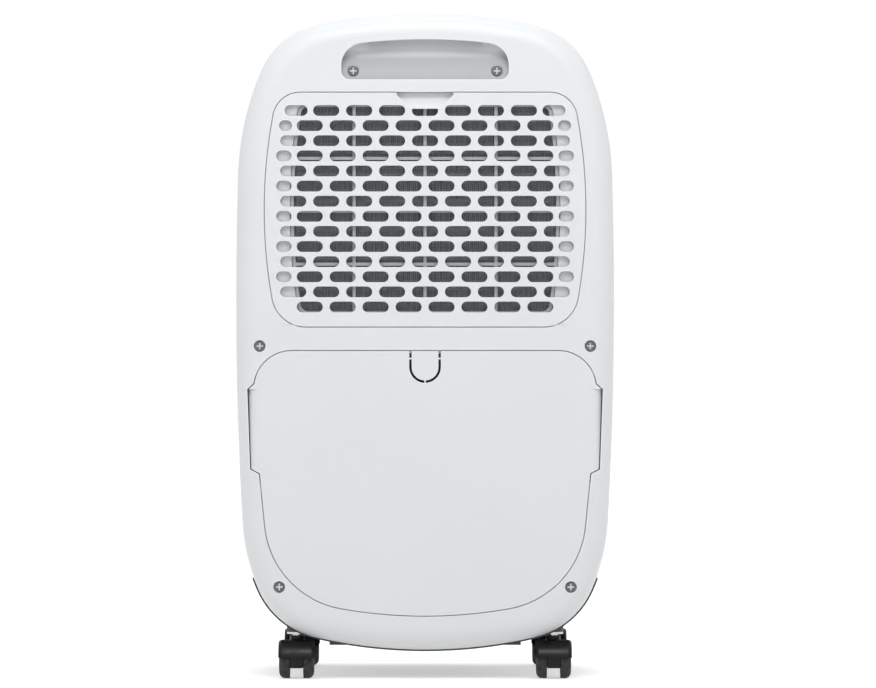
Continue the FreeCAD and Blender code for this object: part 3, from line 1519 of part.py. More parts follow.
def make_fan(motor_y):
    motor_length = 46.0
    can = rod("motor_can", "y", (0, motor_y, d.fan_z), d.motor_radius, motor_length)
    boss = rod("motor_boss", "y", (0, motor_y + motor_length, d.fan_z), 14, 6)
    bore = rod("motor_bore", "y", (0, motor_y - 1, d.fan_z), SHAFT_RADIUS + 0.05, motor_length)
    node(cut("fan_motor", fuse("motor_solid", can, boss), bore), "fan_motor")
    low_y = d.scroll_y + 22
    shaft = rod("fan_shaft", "y", (0, low_y, d.fan_z), SHAFT_RADIUS, motor_y + motor_length - 4 - low_y)
    node(shaft, "fan_shaft")
    make_impeller()


STUB_X = 24.0
STUB_TOP_Z = 229.0


def make_compressor():
    x, y = d.compressor_x, d.compressor_y
    radius = d.compressor_radius
    parts = [rod("compressor_can", "z", (x, y, 90), radius, 112)]
    for name, z in (("compressor_low_dome", 90), ("compressor_high_dome", 202)):
        dome = doc.addObject("Part::Ellipsoid", name)
        bind(dome, "Radius1", 26)
        bind(dome, "Radius2", radius)
        parts.append(place(dome, x, y, z))
    parts.append(rod("compressor_weld", "z", (x, y, 150), radius + 1.5, 4))
    for side in (-1, 1):
        name = "suction_stub" if side < 0 else "discharge_stub"
        parts.append(rod(name, "z", (x + STUB_X * side, y, 210), 5.5, STUB_TOP_Z - 210))
    parts.append(box("compressor_plate", (x - 57, x + 57), (y - 43, y + 43), (62, 66)))
    parts.append(box("compressor_terminals", (x + 30, x + 62), (y - 14, y + 14), (120, 160)))
    holes = [
        rod(f"mount_hole_{n}", "z", (mx, my, 60), MOUNT_BOLT_RADIUS + 1, 8)
        for n, (mx, my) in enumerate(MOUNTS, start=1)
    ]
    node(cut("compressor", fuse("compressor_solid", *parts), *holes), "compressor")
    deck_top = d.deck_z + d.deck_thickness
    grommets = [
        cut(
            f"grommet_{n}",
            rod(f"grommet_{n}_body", "z", (mx, my, deck_top), 7.5, 62 - deck_top),
            rod(f"grommet_{n}_bore", "z", (mx, my, deck_top - 1), MOUNT_BOLT_RADIUS, 12),
        )
        for n, (mx, my) in enumerate(MOUNTS, start=1)
    ]
    node(group("compressor_grommets", *grommets), "compressor_grommets")
    bolts = [
        fuse(
            f"mount_bolt_{n}",
            rod(f"mount_bolt_{n}_shank", "z", (mx, my, d.deck_z - 2), MOUNT_BOLT_RADIUS, 20),
            rod(f"mount_bolt_{n}_head", "z", (mx, my, 66), 5.5, 4),
        )
        for n, (mx, my) in enumerate(MOUNTS, start=1)
    ]
    node(group("compressor_bolts", *bolts), "compressor_bolts")


def pipe(name, points, radius, bend):
    """A round pipe of straight runs joined by equal tangent arcs."""
    route = [Vector(*(float(as_size(v)) for v in point)) for point in points]
    edges = []
    start = route[0]
    for before, corner, after in zip(route, route[1:], route[2:]):
        into = (corner - before).normalize()
        out = (after - corner).normalize()
        first = corner - into * bend
        last = corner + out * bend
        middle = corner + (out - into).normalize() * (bend * (math.sqrt(2) - 1))
        edges.append(Part.LineSegment(start, first).toShape())
        edges.append(Part.Arc(first, middle, last).toShape())
        start = last
    edges.append(Part.LineSegment(start, route[-1]).toShape())
    spine = Part.Wire(edges)
    ring = Part.Wire(Part.Circle(route[0], route[1] - route[0], radius).toShape())
    solid = doc.addObject("Part::Feature", name)
    solid.Shape = spine.makePipeShell([ring], True, True)
    return node(solid, name)


def make_pipes():
    x, y = d.compressor_x, d.compressor_y
    tube_z = d.coil_bottom + (d.coil_top - d.coil_bottom) / TUBE_ROWS * 0.5
    end_x = d.coil_half_width + 5
    run_x = 129.0
    suction_y = d.evaporator_y + d.coil_depth * 0.75
    discharge_y = d.condenser_y + d.coil_depth * 0.75
    high_z = 256.0
    pipe("suction_pipe", [
        (x - STUB_X, y, STUB_TOP_Z), (x - STUB_X, y, high_z), (-run_x, y, high_z),
        (-run_x, y, tube_z), (-run_x, suction_y, tube_z), (-end_x, suction_y, tube_z),
    ], 4.0, 9.0)
    pipe("discharge_pipe", [
        (x + STUB_X, y, STUB_TOP_Z), (x + STUB_X, y, high_z), (run_x, y, high_z),
        (run_x, y, tube_z), (run_x, discharge_y, tube_z), (end_x, discharge_y, tube_z),
    ], 3.0, 8.0)


def make_electrics():
    capacitor = fuse(
        "capacitor_solid",
        rod("capacitor_can", "z", (66, 66, d.deck_z + d.deck_thickness), 19, 78),
        rod("capacitor_rim", "z", (66, 66, d.deck_z + d.deck_thickness + 76), 20, 3),
    )
    node(capacitor, "run_capacitor")


# ---------------------------------------------------------------- top of the casing

VANES = 3


def vane_y(index):
    middle = (d.outlet_low_y + d.outlet_high_y) / 2
    return middle + d.vane_pitch * (index - 1)


def make_outlet():
    """A duct frame set into the top, with three linked vanes on pins."""
    sleeve = box("outlet_sleeve", (-OUTLET_OUTER_X, OUTLET_OUTER_X), OUTLET_Y,
                 (OUTLET_BOTTOM_Z, d.body_top + 5))
    bore = box("outlet_bore", (-d.outlet_half_width, d.outlet_half_width),
               (d.outlet_low_y, d.outlet_high_y), (OUTLET_BOTTOM_Z - 1, d.body_top + 6))
    pin_radius = Size(1.6)
    pin_reach = d.outlet_half_width + 2.5
    holes = [
        rod(f"vane_hole_{n}", "x", (-pin_reach - 0.5, vane_y(n), d.vane_z), pin_radius + 0.05,
            pin_reach * 2 + 1)
        for n in range(VANES)
    ]
    node(cut("outlet_frame", common("outlet_blank", sleeve, front_block), bore, *holes), "outlet_frame")
    half = d.outlet_half_width - 0.6
    for n in range(VANES):
        y = vane_y(n)
        blade = box(f"vane_{n}_blade", (-half, half), (y - d.vane_chord / 2, y + d.vane_chord / 2),
                    (d.vane_z - 0.8, d.vane_z + 0.8))
        spine = rod(f"vane_{n}_spine", "x", (-pin_reach, y, d.vane_z), pin_radius, pin_reach * 2)
        node(fuse(f"outlet_vane_{n + 1}", blade, spine), f"outlet_vane_{n + 1}")


BUTTONS = [("power", -58), ("speed", -36), ("humidity", 36), ("timer", 58)]
BUTTON_HEIGHT = 8.0
LENS_X = 20.0
LENS_Y = (50.0, 76.0)


def dome_z(x):
    """Height of the casing's top above a given X."""
    x = as_size(x)
    return d.body_top - d.crown_radius + (d.crown_radius * d.crown_radius - x * x).root()


def make_controls():
    plate = common(
        "control_plate",
        box("control_box", (-d.control_half_width, d.control_half_width),
            (d.control_low_y, d.control_high_y), (d.body_top - 18, d.body_top + 1)),
        front_shell,
    )
    holes = [
        rod(f"{name}_hole", "z", (x, d.button_y, d.body_top - 20), d.button_radius + 0.35, 25)
        for name, x in BUTTONS
    ]
    lens_hole = box("lens_hole", (-LENS_X - 0.2, LENS_X + 0.2), (LENS_Y[0] - 0.2, LENS_Y[1] + 0.2),
                    (d.body_top - 20, d.body_top + 1))
    node(cut("control_panel", plate, *holes, lens_hole), "control_panel")
    lens = common(
        "display_lens",
        box("lens_box", (-LENS_X, LENS_X), LENS_Y, (d.body_top - 18, d.body_top + 1)),
        front_shell,
    )
    node(lens, "display_lens")
    board = [box("board", (-78, 78), (40, 88), (560, 561.6))]
    for name, x in BUTTONS:
        low = dome_z(x) + 0.2 - BUTTON_HEIGHT
        cap = rod(f"{name}_button", "z", (x, d.button_y, low), d.button_radius, BUTTON_HEIGHT)
        node(cap, f"button_{name}")
        switch_top = low - d.button_travel - 0.2
        board.append(rod(f"{name}_switch", "z", (x, d.button_y, 561), 2.5, switch_top - 561))
    node(fuse("control_board", *board), "control_board")


# ---------------------------------------------------------------- build and export


def check():
    """Stop on any failed object or unsound sub-part."""
    doc.recompute()
    failed = [o.Name for o in doc.Objects if "Invalid" in o.State or "Error" in o.State]
    if failed:
        raise RuntimeError(f"failed objects: {failed}")
    for part in nodes:
        if part.Shape.isNull() or not part.Shape.isValid():
            raise RuntimeError(f"unsound sub-part: {part.Label}")


def export():
    os.makedirs("parts", exist_ok=True)
    for part in nodes:
        part.Shape.exportStep(os.path.join("parts", f"{part.Label}.step"))


def build():
    make_rear_cover()
    make_front_cover()
    make_front_panel()
    make_screws()
    make_hand_grip()
    make_grille()
    make_filter()
    make_tank()
    make_base()
    for name, x, y in CASTORS:
        make_castor(name, x, y)
    shelf_top = make_partition()
    make_drip_tray(shelf_top + 0.2)
    make_coil("evaporator", d.evaporator_y)
    make_coil("condenser", d.condenser_y)
    motor_y = make_fan_housing()
    make_fan(motor_y)
    make_compressor()
    make_pipes()
    make_electrics()
    make_outlet()
    make_controls()
    check()
    export()


build()
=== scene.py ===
import json
import math

import bmesh
import bpy
from mathutils import Matrix, Vector


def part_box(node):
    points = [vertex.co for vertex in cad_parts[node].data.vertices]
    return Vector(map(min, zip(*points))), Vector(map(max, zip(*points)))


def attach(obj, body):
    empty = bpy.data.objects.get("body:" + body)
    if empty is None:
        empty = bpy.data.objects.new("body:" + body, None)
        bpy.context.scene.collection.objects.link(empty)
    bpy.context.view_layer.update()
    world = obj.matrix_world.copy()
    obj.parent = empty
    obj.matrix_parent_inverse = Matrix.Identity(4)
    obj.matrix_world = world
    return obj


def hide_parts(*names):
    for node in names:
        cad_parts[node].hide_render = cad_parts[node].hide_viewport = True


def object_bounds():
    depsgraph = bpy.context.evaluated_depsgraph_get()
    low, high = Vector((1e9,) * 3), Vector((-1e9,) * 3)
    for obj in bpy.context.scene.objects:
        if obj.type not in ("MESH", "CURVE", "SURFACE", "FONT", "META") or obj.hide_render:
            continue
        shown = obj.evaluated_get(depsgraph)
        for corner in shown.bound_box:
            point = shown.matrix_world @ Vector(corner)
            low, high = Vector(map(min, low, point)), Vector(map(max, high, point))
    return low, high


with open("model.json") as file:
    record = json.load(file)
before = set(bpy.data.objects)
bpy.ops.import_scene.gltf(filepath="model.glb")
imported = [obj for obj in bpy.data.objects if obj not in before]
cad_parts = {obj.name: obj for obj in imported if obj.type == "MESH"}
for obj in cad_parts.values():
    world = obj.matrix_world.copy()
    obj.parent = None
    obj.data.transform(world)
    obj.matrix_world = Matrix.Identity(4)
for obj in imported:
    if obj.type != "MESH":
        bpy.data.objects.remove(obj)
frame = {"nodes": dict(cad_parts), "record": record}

cad_low, cad_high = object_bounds()
MM = 0.001

# ---------------------------------------------------------------- materials

# Most of a noise texture's values lie between these two.
NOISE_LOW = 0.3
NOISE_HIGH = 0.7

# The colour sockets of a mix node, which share their names with others and so go by number.
MIX_FIRST = 6
MIX_SECOND = 7
MIX_RESULT = 2

EVEN = (1, 1, 1)


class Finish:
    """A procedural material with a few helpers for wiring its nodes."""

    def __init__(self, name, colour, roughness, metallic=0.0):
        self.material = bpy.data.materials.new(name)
        self.material.use_nodes = True
        self.tree = self.material.node_tree
        self.shader = self.tree.nodes["Principled BSDF"]
        self.colour = colour
        self.shader.inputs["Base Color"].default_value = (*colour, 1.0)
        self.shader.inputs["Roughness"].default_value = roughness
        self.shader.inputs["Metallic"].default_value = metallic
        self.place = self.tree.nodes.new("ShaderNodeTexCoord")
        self.normal = None

    def set(self, socket, value):
        self.shader.inputs[socket].default_value = value

    def noise(self, scale, detail=2.0, stretch=EVEN):
        """Noise over the object's own metres, optionally stretched along an axis."""
        mapping = self.tree.nodes.new("ShaderNodeMapping")
        mapping.inputs["Scale"].default_value = stretch
        texture = self.tree.nodes.new("ShaderNodeTexNoise")
        texture.inputs["Scale"].default_value = scale
        texture.inputs["Detail"].default_value = detail
        self.tree.links.new(self.place.outputs["Object"], mapping.inputs["Vector"])
        self.tree.links.new(mapping.outputs["Vector"], texture.inputs["Vector"])
        return texture.outputs["Fac"]

    def spread(self, source, low, high):
        """Map a noise value to a chosen range."""
        ramp = self.tree.nodes.new("ShaderNodeMapRange")
        ramp.inputs["From Min"].default_value = NOISE_LOW
        ramp.inputs["From Max"].default_value = NOISE_HIGH
        ramp.inputs["To Min"].default_value = low
        ramp.inputs["To Max"].default_value = high
        self.tree.links.new(source, ramp.inputs["Value"])
        return ramp.outputs["Result"]

    def rough(self, scale, low, high, stretch=EVEN):
        """Let the roughness drift between two values."""
        value = self.spread(self.noise(scale, 3.0, stretch), low, high)
        self.tree.links.new(value, self.shader.inputs["Roughness"])

    def blend(self, factor, first, second):
        """Run the base colour from the first colour to the second by a factor."""
        mix = self.tree.nodes.new("ShaderNodeMix")
        mix.data_type = "RGBA"
        mix.inputs[MIX_FIRST].default_value = (*first, 1.0)
        mix.inputs[MIX_SECOND].default_value = (*second, 1.0)
        self.tree.links.new(factor, mix.inputs["Factor"])
        self.tree.links.new(mix.outputs[MIX_RESULT], self.shader.inputs["Base Color"])

    def tint(self, scale, second, amount, stretch=EVEN):
        """Let soft patches of a second tone into the colour."""
        factor = self.spread(self.noise(scale, 4.0, stretch), 0.0, amount)
        self.blend(factor, self.colour, second)

    def fade(self, low_z, low_colour, high_z, high_colour):
        """Let the colour run from one height of the object to another."""
        split = self.tree.nodes.new("ShaderNodeSeparateXYZ")
        self.tree.links.new(self.place.outputs["Object"], split.inputs["Vector"])
        ramp = self.tree.nodes.new("ShaderNodeMapRange")
        ramp.inputs["From Min"].default_value = low_z
        ramp.inputs["From Max"].default_value = high_z
        self.tree.links.new(split.outputs["Z"], ramp.inputs["Value"])
        self.blend(ramp.outputs["Result"], low_colour, high_colour)

    def bump(self, source, depth, strength):
        """Raise the surface by a texture, on top of any bump it already has."""
        node = self.tree.nodes.new("ShaderNodeBump")
        node.inputs["Strength"].default_value = strength
        node.inputs["Distance"].default_value = depth
        self.tree.links.new(source, node.inputs["Height"])
        if self.normal:
            self.tree.links.new(self.normal, node.inputs["Normal"])
        self.normal = node.outputs["Normal"]
        self.tree.links.new(self.normal, self.shader.inputs["Normal"])

    def grain(self, size, depth, strength):
        """A moulded texture: cells of a given size in metres."""
        texture = self.tree.nodes.new("ShaderNodeTexVoronoi")
        texture.inputs["Scale"].default_value = 1.0 / size
        self.tree.links.new(self.place.outputs["Object"], texture.inputs["Vector"])
        self.bump(texture.outputs["Distance"], depth, strength)


def toned(colour, factor, lift=0.0):
    """A colour multiplied by a factor and lifted by the same step in every channel."""
    return tuple(min(1.0, channel * factor + lift) for channel in colour)


def white_moulding(name, colour, roughness):
    """Satin white plastic: a very fine grain, a slow flow ripple, and light that soaks in."""
    finish = Finish(name, colour, roughness)
    finish.tint(scale=9.0, second=toned(colour, 0.965), amount=0.6)
    finish.rough(scale=45.0, low=roughness - 0.05, high=roughness + 0.07)
    finish.bump(finish.noise(scale=14.0), depth=0.6 * MM, strength=0.25)
    finish.grain(size=0.6 * MM, depth=0.03 * MM, strength=0.35)
    finish.set("Specular IOR Level", 0.42)
    finish.set("Subsurface Weight", 0.6)
    finish.set("Subsurface Radius", (1.0, 1.0, 1.0))
    finish.set("Subsurface Scale", 3.0 * MM)
    return finish.material


def grained_plastic(name, colour, roughness=0.55, size=0.9 * MM, depth=0.06 * MM, shine=0.5):
    """Coarser grained moulding with faint handling marks."""
    finish = Finish(name, colour, roughness)
    finish.set("Specular IOR Level", shine)
    finish.tint(scale=60.0, second=toned(colour, 1.2, 0.002), amount=0.35)
    finish.rough(scale=120.0, low=roughness - 0.1, high=roughness + 0.12)
    finish.grain(size, depth, strength=0.6)
    return finish.material


def cup_plastic(name):
    """Fine grey moulding with painted light and shade: painted darker low in the cup and painted
    paler toward the top, where the lip of the cover shades the cup.
    """
    finish = Finish(name, CUP_GREY, 0.55)
    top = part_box("hand_grip")[1].z
    # Painted shade low in the cup, running up to painted light near its top.
    finish.fade(
        low_z=top - FADE_BOTTOM_DROP,
        low_colour=CUP_PAINTED_SHADE,
        high_z=top - FADE_TOP_DROP,
        high_colour=CUP_PAINTED_LIGHT,
    )
    finish.rough(scale=120.0, low=0.48, high=0.66)
    finish.grain(size=0.7 * MM, depth=0.04 * MM, strength=0.6)
    finish.set("Specular IOR Level", 0.3)
    return finish.material


def glossy_plastic(name, colour, roughness=0.08):
    """Polished plastic with a dust haze and slight waviness."""
    finish = Finish(name, colour, roughness)
    finish.rough(scale=70.0, low=roughness, high=roughness + 0.12)
    finish.bump(finish.noise(scale=22.0), depth=0.4 * MM, strength=0.2)
    finish.set("Coat Weight", 0.4)
    finish.set("Coat Roughness", 0.05)
    return finish.material


def rubber(name, colour):
    """Matt rubber with a dusty bloom and a coarse grain."""
    finish = Finish(name, colour, 0.75)
    finish.tint(scale=180.0, second=toned(colour, 2.2, 0.01), amount=0.5)
    finish.rough(scale=240.0, low=0.6, high=0.9)
    finish.grain(size=0.7 * MM, depth=0.08 * MM, strength=0.8)
    return finish.material


def brushed_metal(name, colour, roughness=0.3, stretch=(1, 1, 12)):
    """Metal drawn or brushed one way, with plating variation."""
    finish = Finish(name, colour, roughness, metallic=1.0)
    finish.tint(scale=90.0, second=toned(colour, 0.72), amount=0.6, stretch=stretch)
    finish.rough(scale=260.0, low=roughness - 0.08, high=roughness + 0.15, stretch=stretch)
    finish.bump(finish.noise(scale=900.0, stretch=stretch), depth=0.02 * MM, strength=0.5)
    return finish.material


def painted_metal(name, colour, roughness=0.4):
    """Sprayed enamel with orange peel."""
    finish = Finish(name, colour, roughness)
    finish.tint(scale=25.0, second=toned(colour, 1.5, 0.01), amount=0.4)
    finish.rough(scale=60.0, low=roughness - 0.1, high=roughness + 0.15)
    finish.bump(finish.noise(scale=420.0), depth=0.12 * MM, strength=0.5)
    finish.set("Coat Weight", 0.3)
    return finish.material


def smoked_lens(name, colour, alpha):
    """A thin clear window, smeared a little by fingers."""
    finish = Finish(name, colour, 0.06)
    finish.rough(scale=50.0, low=0.04, high=0.14)
    finish.bump(finish.noise(scale=30.0), depth=0.2 * MM, strength=0.15)
    finish.set("Alpha", alpha)
    finish.set("Coat Weight", 0.5)
    return finish.material


def netting(name, colour):
    """Plastic thread with dust caught in it."""
    finish = Finish(name, colour, 0.6)
    finish.tint(scale=2200.0, second=toned(colour, 2.5, 0.02), amount=0.7)
    finish.rough(scale=1500.0, low=0.45, high=0.8)
    finish.bump(finish.noise(scale=4000.0), depth=0.04 * MM, strength=0.6)
    return finish.material


def foam(name, colour):
    """Closed-cell foam, matt and pitted."""
    finish = Finish(name, colour, 0.85)
    finish.tint(scale=400.0, second=toned(colour, 0.8), amount=0.7)
    finish.rough(scale=300.0, low=0.75, high=0.95)
    finish.grain(size=1.2 * MM, depth=0.2 * MM, strength=1.0)
    return finish.material


WHITE = (0.534, 0.546, 0.557)
CUP_GREY = (0.42, 0.43, 0.44)
# Painted shade for the low part of the cup and painted light for its top, with the heights the colour
# runs between.
CUP_PAINTED_SHADE = (0.305, 0.311, 0.316)
CUP_PAINTED_LIGHT = (0.76, 0.77, 0.78)
FADE_BOTTOM_DROP = 27 * MM
FADE_TOP_DROP = 18 * MM

MATERIALS = {
    "white_shell": white_moulding("white_shell", WHITE, 0.36),
    "grille_white": white_moulding("grille_white", WHITE, 0.40),
    "tank_white": white_moulding("tank_white", WHITE, 0.36),
    "grip_grey": cup_plastic("grip_grey"),
    # filter_white is white plastic given a mid grey: painted shade for the parts in shadow behind the
    # grille slots.
    "filter_white": grained_plastic(
        "filter_white", (0.31, 0.317, 0.321), 0.5, size=0.6 * MM, depth=0.03 * MM),
    "filter_mesh": netting("filter_mesh", (0.105, 0.107, 0.112)),
    "tank_smoke": glossy_plastic("tank_smoke", (0.07, 0.075, 0.08), 0.18),
    "float_foam": foam("float_foam", (0.62, 0.62, 0.58)),
    "base_grey": grained_plastic("base_grey", (0.035, 0.035, 0.038)),
    "inner_grey": grained_plastic("inner_grey", (0.10, 0.105, 0.11)),
    "castor_black": grained_plastic(
        "castor_black", (0.002, 0.002, 0.0022), 0.34, size=0.8 * MM, depth=0.02 * MM, shine=0.22),
    "tyre_black": rubber("tyre_black", (0.006, 0.006, 0.0065)),
    "steel": brushed_metal("steel", (0.62, 0.62, 0.63)),
    "screw_grey": brushed_metal("screw_grey", (0.15, 0.15, 0.155), 0.42, stretch=EVEN),
    "compressor_black": painted_metal("compressor_black", (0.012, 0.012, 0.013)),
    "copper": brushed_metal("copper", (0.80, 0.42, 0.28), 0.28),
    "coil_fins": brushed_metal("coil_fins", (0.42, 0.43, 0.44), 0.45, stretch=(1, 1, 6)),
    "motor_steel": painted_metal("motor_steel", (0.25, 0.26, 0.27)),
    "fan_black": grained_plastic("fan_black", (0.018, 0.018, 0.02), 0.45),
    "outlet_grey": grained_plastic("outlet_grey", (0.045, 0.046, 0.05), 0.42),
    "control_gloss": glossy_plastic("control_gloss", (0.012, 0.012, 0.014)),
    "button_white": grained_plastic(
        "button_white", (0.50, 0.51, 0.52), 0.45, size=0.5 * MM, depth=0.02 * MM),
    "lens_clear": smoked_lens("lens_clear", (0.03, 0.035, 0.04), alpha=0.75),
    "light_lens": smoked_lens("light_lens", (0.70, 0.82, 0.90), alpha=0.85),
    "board_green": painted_metal("board_green", (0.01, 0.10, 0.04), 0.35),
    "rubber_black": rubber("rubber_black", (0.015, 0.015, 0.015)),
    "capacitor_can": brushed_metal("capacitor_can", (0.66, 0.66, 0.67), 0.35),
}

for row in frame["record"]["subparts"]:
    shown = frame["nodes"][row["node"]]
    for material_slot in shown.material_slots:
        material_slot.material = MATERIALS[row["material_slot"]]


# ---------------------------------------------------------------- mesh helpers


def new_piece(name, mesh_maker, body, slot, smooth=False):
    """Build one mesh piece, give it its material and let it ride on a body."""
    mesh = bpy.data.meshes.new(name)
    shape = bmesh.new()
    mesh_maker(shape)
    bmesh.ops.recalc_face_normals(shape, faces=shape.faces)
    shape.to_mesh(mesh)
    shape.free()
    mesh.materials.append(MATERIALS[slot])
    if smooth:
        mesh.polygons.foreach_set("use_smooth", [True] * len(mesh.polygons))
    piece = bpy.data.objects.new(name, mesh)
    bpy.context.scene.collection.objects.link(piece)
    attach(piece, body)
    return piece


def add_block(shape, low, high):
    """A box between two opposite corners."""
    low, high = Vector(low), Vector(high)
    middle = (low + high) / 2
    size = high - low
    place = Matrix.Translation(middle) @ Matrix.Diagonal((*size, 1.0))
    bmesh.ops.create_cube(shape, size=1.0, matrix=place)


TUBE_SIDES = 12
STEEP = 0.9


def add_tube(shape, path, radius):
    """Sweep a round section along a list of points, closed at both ends."""
    rings = []
    for index, point in enumerate(path):
        before = path[max(index - 1, 0)]
        after = path[min(index + 1, len(path) - 1)]
        ahead = (after - before).normalized()
        helper = Vector((0, 0, 1)) if abs(ahead.z) < STEEP else Vector((1, 0, 0))
        side = ahead.cross(helper).normalized()
        up = side.cross(ahead)
        rings.append([
            shape.verts.new(point + radius * (math.cos(turn) * side + math.sin(turn) * up))
            for turn in (2 * math.pi * step / TUBE_SIDES for step in range(TUBE_SIDES))
        ])
    for ring, following in zip(rings, rings[1:]):
        for step in range(TUBE_SIDES):
            after = (step + 1) % TUBE_SIDES
            shape.faces.new((ring[step], ring[after], following[after], following[step]))
    shape.faces.new(rings[0])
    shape.faces.new(rings[-1])


# ---------------------------------------------------------------- filter netting


def make_netting():
    """Woven filter net: two sets of fine threads in two layers, inside the CAD sheet's outline."""
    low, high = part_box("filter_mesh")
    pitch = 1.3 * MM
    thread = 0.5 * MM
    y = (low.y + high.y) / 2
    margin = 1.5 * MM
    bow = 7.0 * MM
    middle_z = (low.z + high.z) / 2
    half_height = (high.z - low.z) / 2 - margin
    widest = (high.x - low.x) / 2 - margin
    narrowest = widest - bow

    def half_width(z):
        away = (z - middle_z) / half_height
        return widest - bow * away * away

    def half_rise(x):
        """How far up a thread at x may run before it meets the bowed side."""
        beyond = max(0.0, (abs(x) - narrowest) / bow)
        return half_height * math.sqrt(max(0.0, 1.0 - beyond))

    def build(shape):
        for row in range(int(2 * half_height / pitch) + 1):
            z = middle_z - half_height + row * pitch
            reach = half_width(z)
            add_block(shape, (-reach, y - thread / 2, z), (reach, y, z + thread))
        for column in range(int(2 * widest / pitch) + 1):
            x = -widest + column * pitch
            reach = half_rise(x)
            add_block(shape, (x, y, middle_z - reach), (x + thread, y + thread / 2, middle_z + reach))

    net = new_piece("filter_net", build, "intake_panel", "filter_mesh")
    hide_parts("filter_mesh")


# ---------------------------------------------------------------- heat exchangers

FIN_PITCH = 1.8 * MM
FIN_THICKNESS = 0.3 * MM
PLATE_THICKNESS = 1.2 * MM
COIL_END = 5.0 * MM
TUBE_ROWS = 8
COLUMN_SHARES = (0.27, 0.73)
TUBE_RADIUS = 3.6 * MM
COLLAR_RADIUS = 4.0 * MM
BEND_STEPS = 10


def return_bend(start, end, outward, bulge):
    """Points of a half ellipse that leaves start and comes back at end."""
    middle = (start + end) / 2
    half = (start - end) / 2
    turns = (math.pi * step / BEND_STEPS for step in range(BEND_STEPS + 1))
    return [middle + half * math.cos(turn) + outward * bulge * math.sin(turn) for turn in turns]


def make_coil(node):
    """Stacked fins on two columns of tube, with end plates and return bends."""
    low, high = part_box(node)
    plate_low = low.x + COIL_END
    plate_high = high.x - COIL_END
    pitch = (high.z - low.z) / TUBE_ROWS
    columns = [low.y + (high.y - low.y) * share for share in COLUMN_SHARES]
    heights = [low.z + pitch * (row + 0.5) for row in range(TUBE_ROWS)]

    def fins(shape):
        inset = 1.0 * MM
        for index in range(int((plate_high - plate_low) / FIN_PITCH)):
            x = plate_low + index * FIN_PITCH
            add_block(shape, (x, low.y + inset, low.z + inset),
                      (x + FIN_THICKNESS, high.y - inset, high.z - inset))
        for x in (plate_low - PLATE_THICKNESS, plate_high):
            add_block(shape, (x, low.y, low.z), (x + PLATE_THICKNESS, high.y, high.z))
        for z in heights:
            for y in columns:
                add_tube(shape, [Vector((x, y, z)) for x in (plate_low, plate_high)], COLLAR_RADIUS)

    def tubes(shape):
        bulge = COIL_END - TUBE_RADIUS + PLATE_THICKNESS
        for z in heights:
            ends = [Vector((plate_low, y, z)) for y in columns]
            add_tube(shape, return_bend(*ends, Vector((-1, 0, 0)), bulge), TUBE_RADIUS)
        for z, above in zip(heights[::2], heights[1::2]):
            for y in columns:
                ends = [Vector((plate_high, y, level)) for level in (z, above)]
                add_tube(shape, return_bend(*ends, Vector((1, 0, 0)), bulge), TUBE_RADIUS)

    stack = new_piece(f"{node}_fins", fins, "cabinet", "coil_fins")
    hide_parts(node)
    new_piece(f"{node}_bends", tubes, "cabinet", "copper", smooth=True)


# ---------------------------------------------------------------- screw recesses


def islands(node):
    """The boxes of the separate solids inside one node, as (low, high) pairs in a fixed order."""
    shape = bmesh.new()
    shape.from_mesh(node.data)
    bmesh.ops.remove_doubles(shape, verts=shape.verts, dist=0.001 * MM)
    left = set(shape.verts)
    found = []
    while left:
        waiting = [left.pop()]
        corners = []
        while waiting:
            vert = waiting.pop()
            corners.append(node.matrix_world @ vert.co)
            for edge in vert.link_edges:
                other = edge.other_vert(vert)
                if other in left:
                    left.remove(other)
                    waiting.append(other)
        low = Vector(min(corner[axis] for corner in corners) for axis in range(3))
        high = Vector(max(corner[axis] for corner in corners) for axis in range(3))
        found.append((low, high))
    shape.free()
    return sorted(found, key=lambda pair: tuple(pair[0]))


def make_screw_painted_highlight(node, body):
    """Bright bare steel set into the cross recess of every screw in a node: a painted highlight for
    the glint in the recess.
    """
    arm = 2.9 * MM
    blade = 0.6 * MM
    sunk = 0.3 * MM
    deep = 1.15 * MM
    bars = (
        (-arm, arm, -blade, blade),
        (-blade, blade, blade, arm),
        (-blade, blade, -arm, -blade),
    )

    def build(shape):
        for low, high in islands(frame["nodes"][node]):
            x = (low.x + high.x) / 2
            z = (low.z + high.z) / 2
            front = low.y + sunk
            back = low.y + deep
            for left, right, bottom, top in bars:
                # Each cross bar is bright steel, a painted highlight.
                add_block(shape, (x + left, front, z + bottom), (x + right, back, z + top))

    new_piece(f"{node}_painted_highlight", build, body, "steel")


make_netting()
make_coil("evaporator")
make_coil("condenser")
make_screw_painted_highlight("cover_screws", "cabinet")
make_screw_painted_highlight("grip_screws", "cabinet")

# ---------------------------------------------------------------- stage, light and camera

CAMERA_DISTANCE = 4.3
CAMERA_SIDE = 11.4 * MM
CAMERA_LIFT = 0.7 * MM
FRAME_WIDTH = 0.771
SENSOR = 36.0
FLOOR_HALF = 12.0
FLOOR_GREY = (0.60, 0.60, 0.60)
FLOOR_GLOW = 0.47
ROOM_GLOW = 1.02
PURE_WHITE = (1.0, 1.0, 1.0, 1.0)


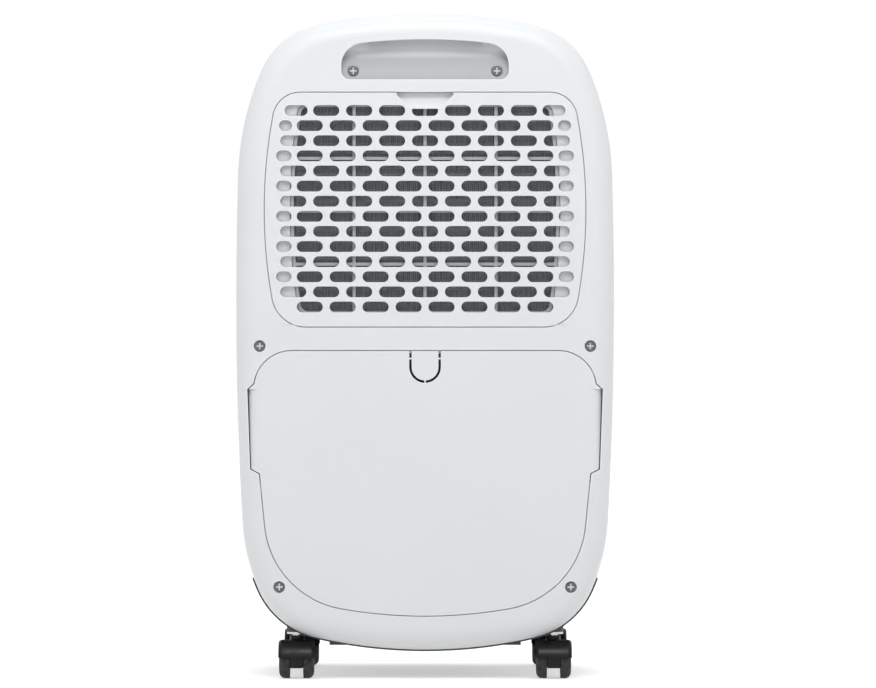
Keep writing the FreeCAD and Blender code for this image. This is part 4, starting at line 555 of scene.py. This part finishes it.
def make_stage():
    """A pale floor with a faint glow, so that the shadow on it stays light."""
    mesh = bpy.data.meshes.new("floor")
    half = FLOOR_HALF
    corners = [(-half, -half, 0), (half, -half, 0), (half, half, 0), (-half, half, 0)]
    mesh.from_pydata(corners, [], [(0, 1, 2, 3)])
    floor = bpy.data.objects.new("floor", mesh)
    bpy.context.scene.collection.objects.link(floor)
    finish = Finish("floor_paint", FLOOR_GREY, 0.7)
    finish.rough(scale=3.0, low=0.65, high=0.8)
    finish.set("Emission Color", PURE_WHITE)
    finish.set("Emission Strength", FLOOR_GLOW)
    mesh.materials.append(finish.material)


def area_light(name, place, aim, size, power):
    """A rectangular lamp at a place, turned to face the aim."""
    light = bpy.data.lights.new(name, "AREA")
    light.shape = "RECTANGLE"
    light.size, light.size_y = size
    light.energy = power
    lamp = bpy.data.objects.new(name, light)
    lamp.location = place
    lamp.rotation_euler = (Vector(aim) - Vector(place)).to_track_quat("-Z", "Y").to_euler()
    bpy.context.scene.collection.objects.link(lamp)


def make_world():
    """A plain white room."""
    world = bpy.data.worlds.new("studio")
    world.use_nodes = True
    tree = world.node_tree
    background = tree.nodes["Background"]
    background.inputs["Color"].default_value = PURE_WHITE
    background.inputs["Strength"].default_value = ROOM_GLOW
    bpy.context.scene.world = world


def make_camera():
    """A long lens straight on to the intake side, at half the height of the machine."""
    camera_data = bpy.data.cameras.new("camera")
    camera_data.sensor_width = SENSOR
    camera_data.lens = SENSOR * CAMERA_DISTANCE / FRAME_WIDTH
    camera = bpy.data.objects.new("camera", camera_data)
    eye_height = (cad_low.z + cad_high.z) / 2 + CAMERA_LIFT
    camera.location = (CAMERA_SIDE, cad_low.y - CAMERA_DISTANCE, eye_height)
    camera.rotation_euler = (math.pi / 2, 0, 0)
    bpy.context.scene.collection.objects.link(camera)
    bpy.context.scene.camera = camera


make_stage()
make_world()
area_light("key", place=(0.0, -1.05, 1.3), aim=(0, 0, 0.5), size=(1.0, 0.45), power=10.5)
area_light("far_light", place=(0.0, 1.5, 1.5), aim=(0, 0, 0.4), size=(1.2, 0.6), power=7.0)
area_light("crown_light", place=(0.0, -0.3, 2.0), aim=(0, 0, 0.5), size=(1.0, 0.6), power=3.5)
make_camera()
bpy.context.scene.view_settings.view_transform = "Standard"
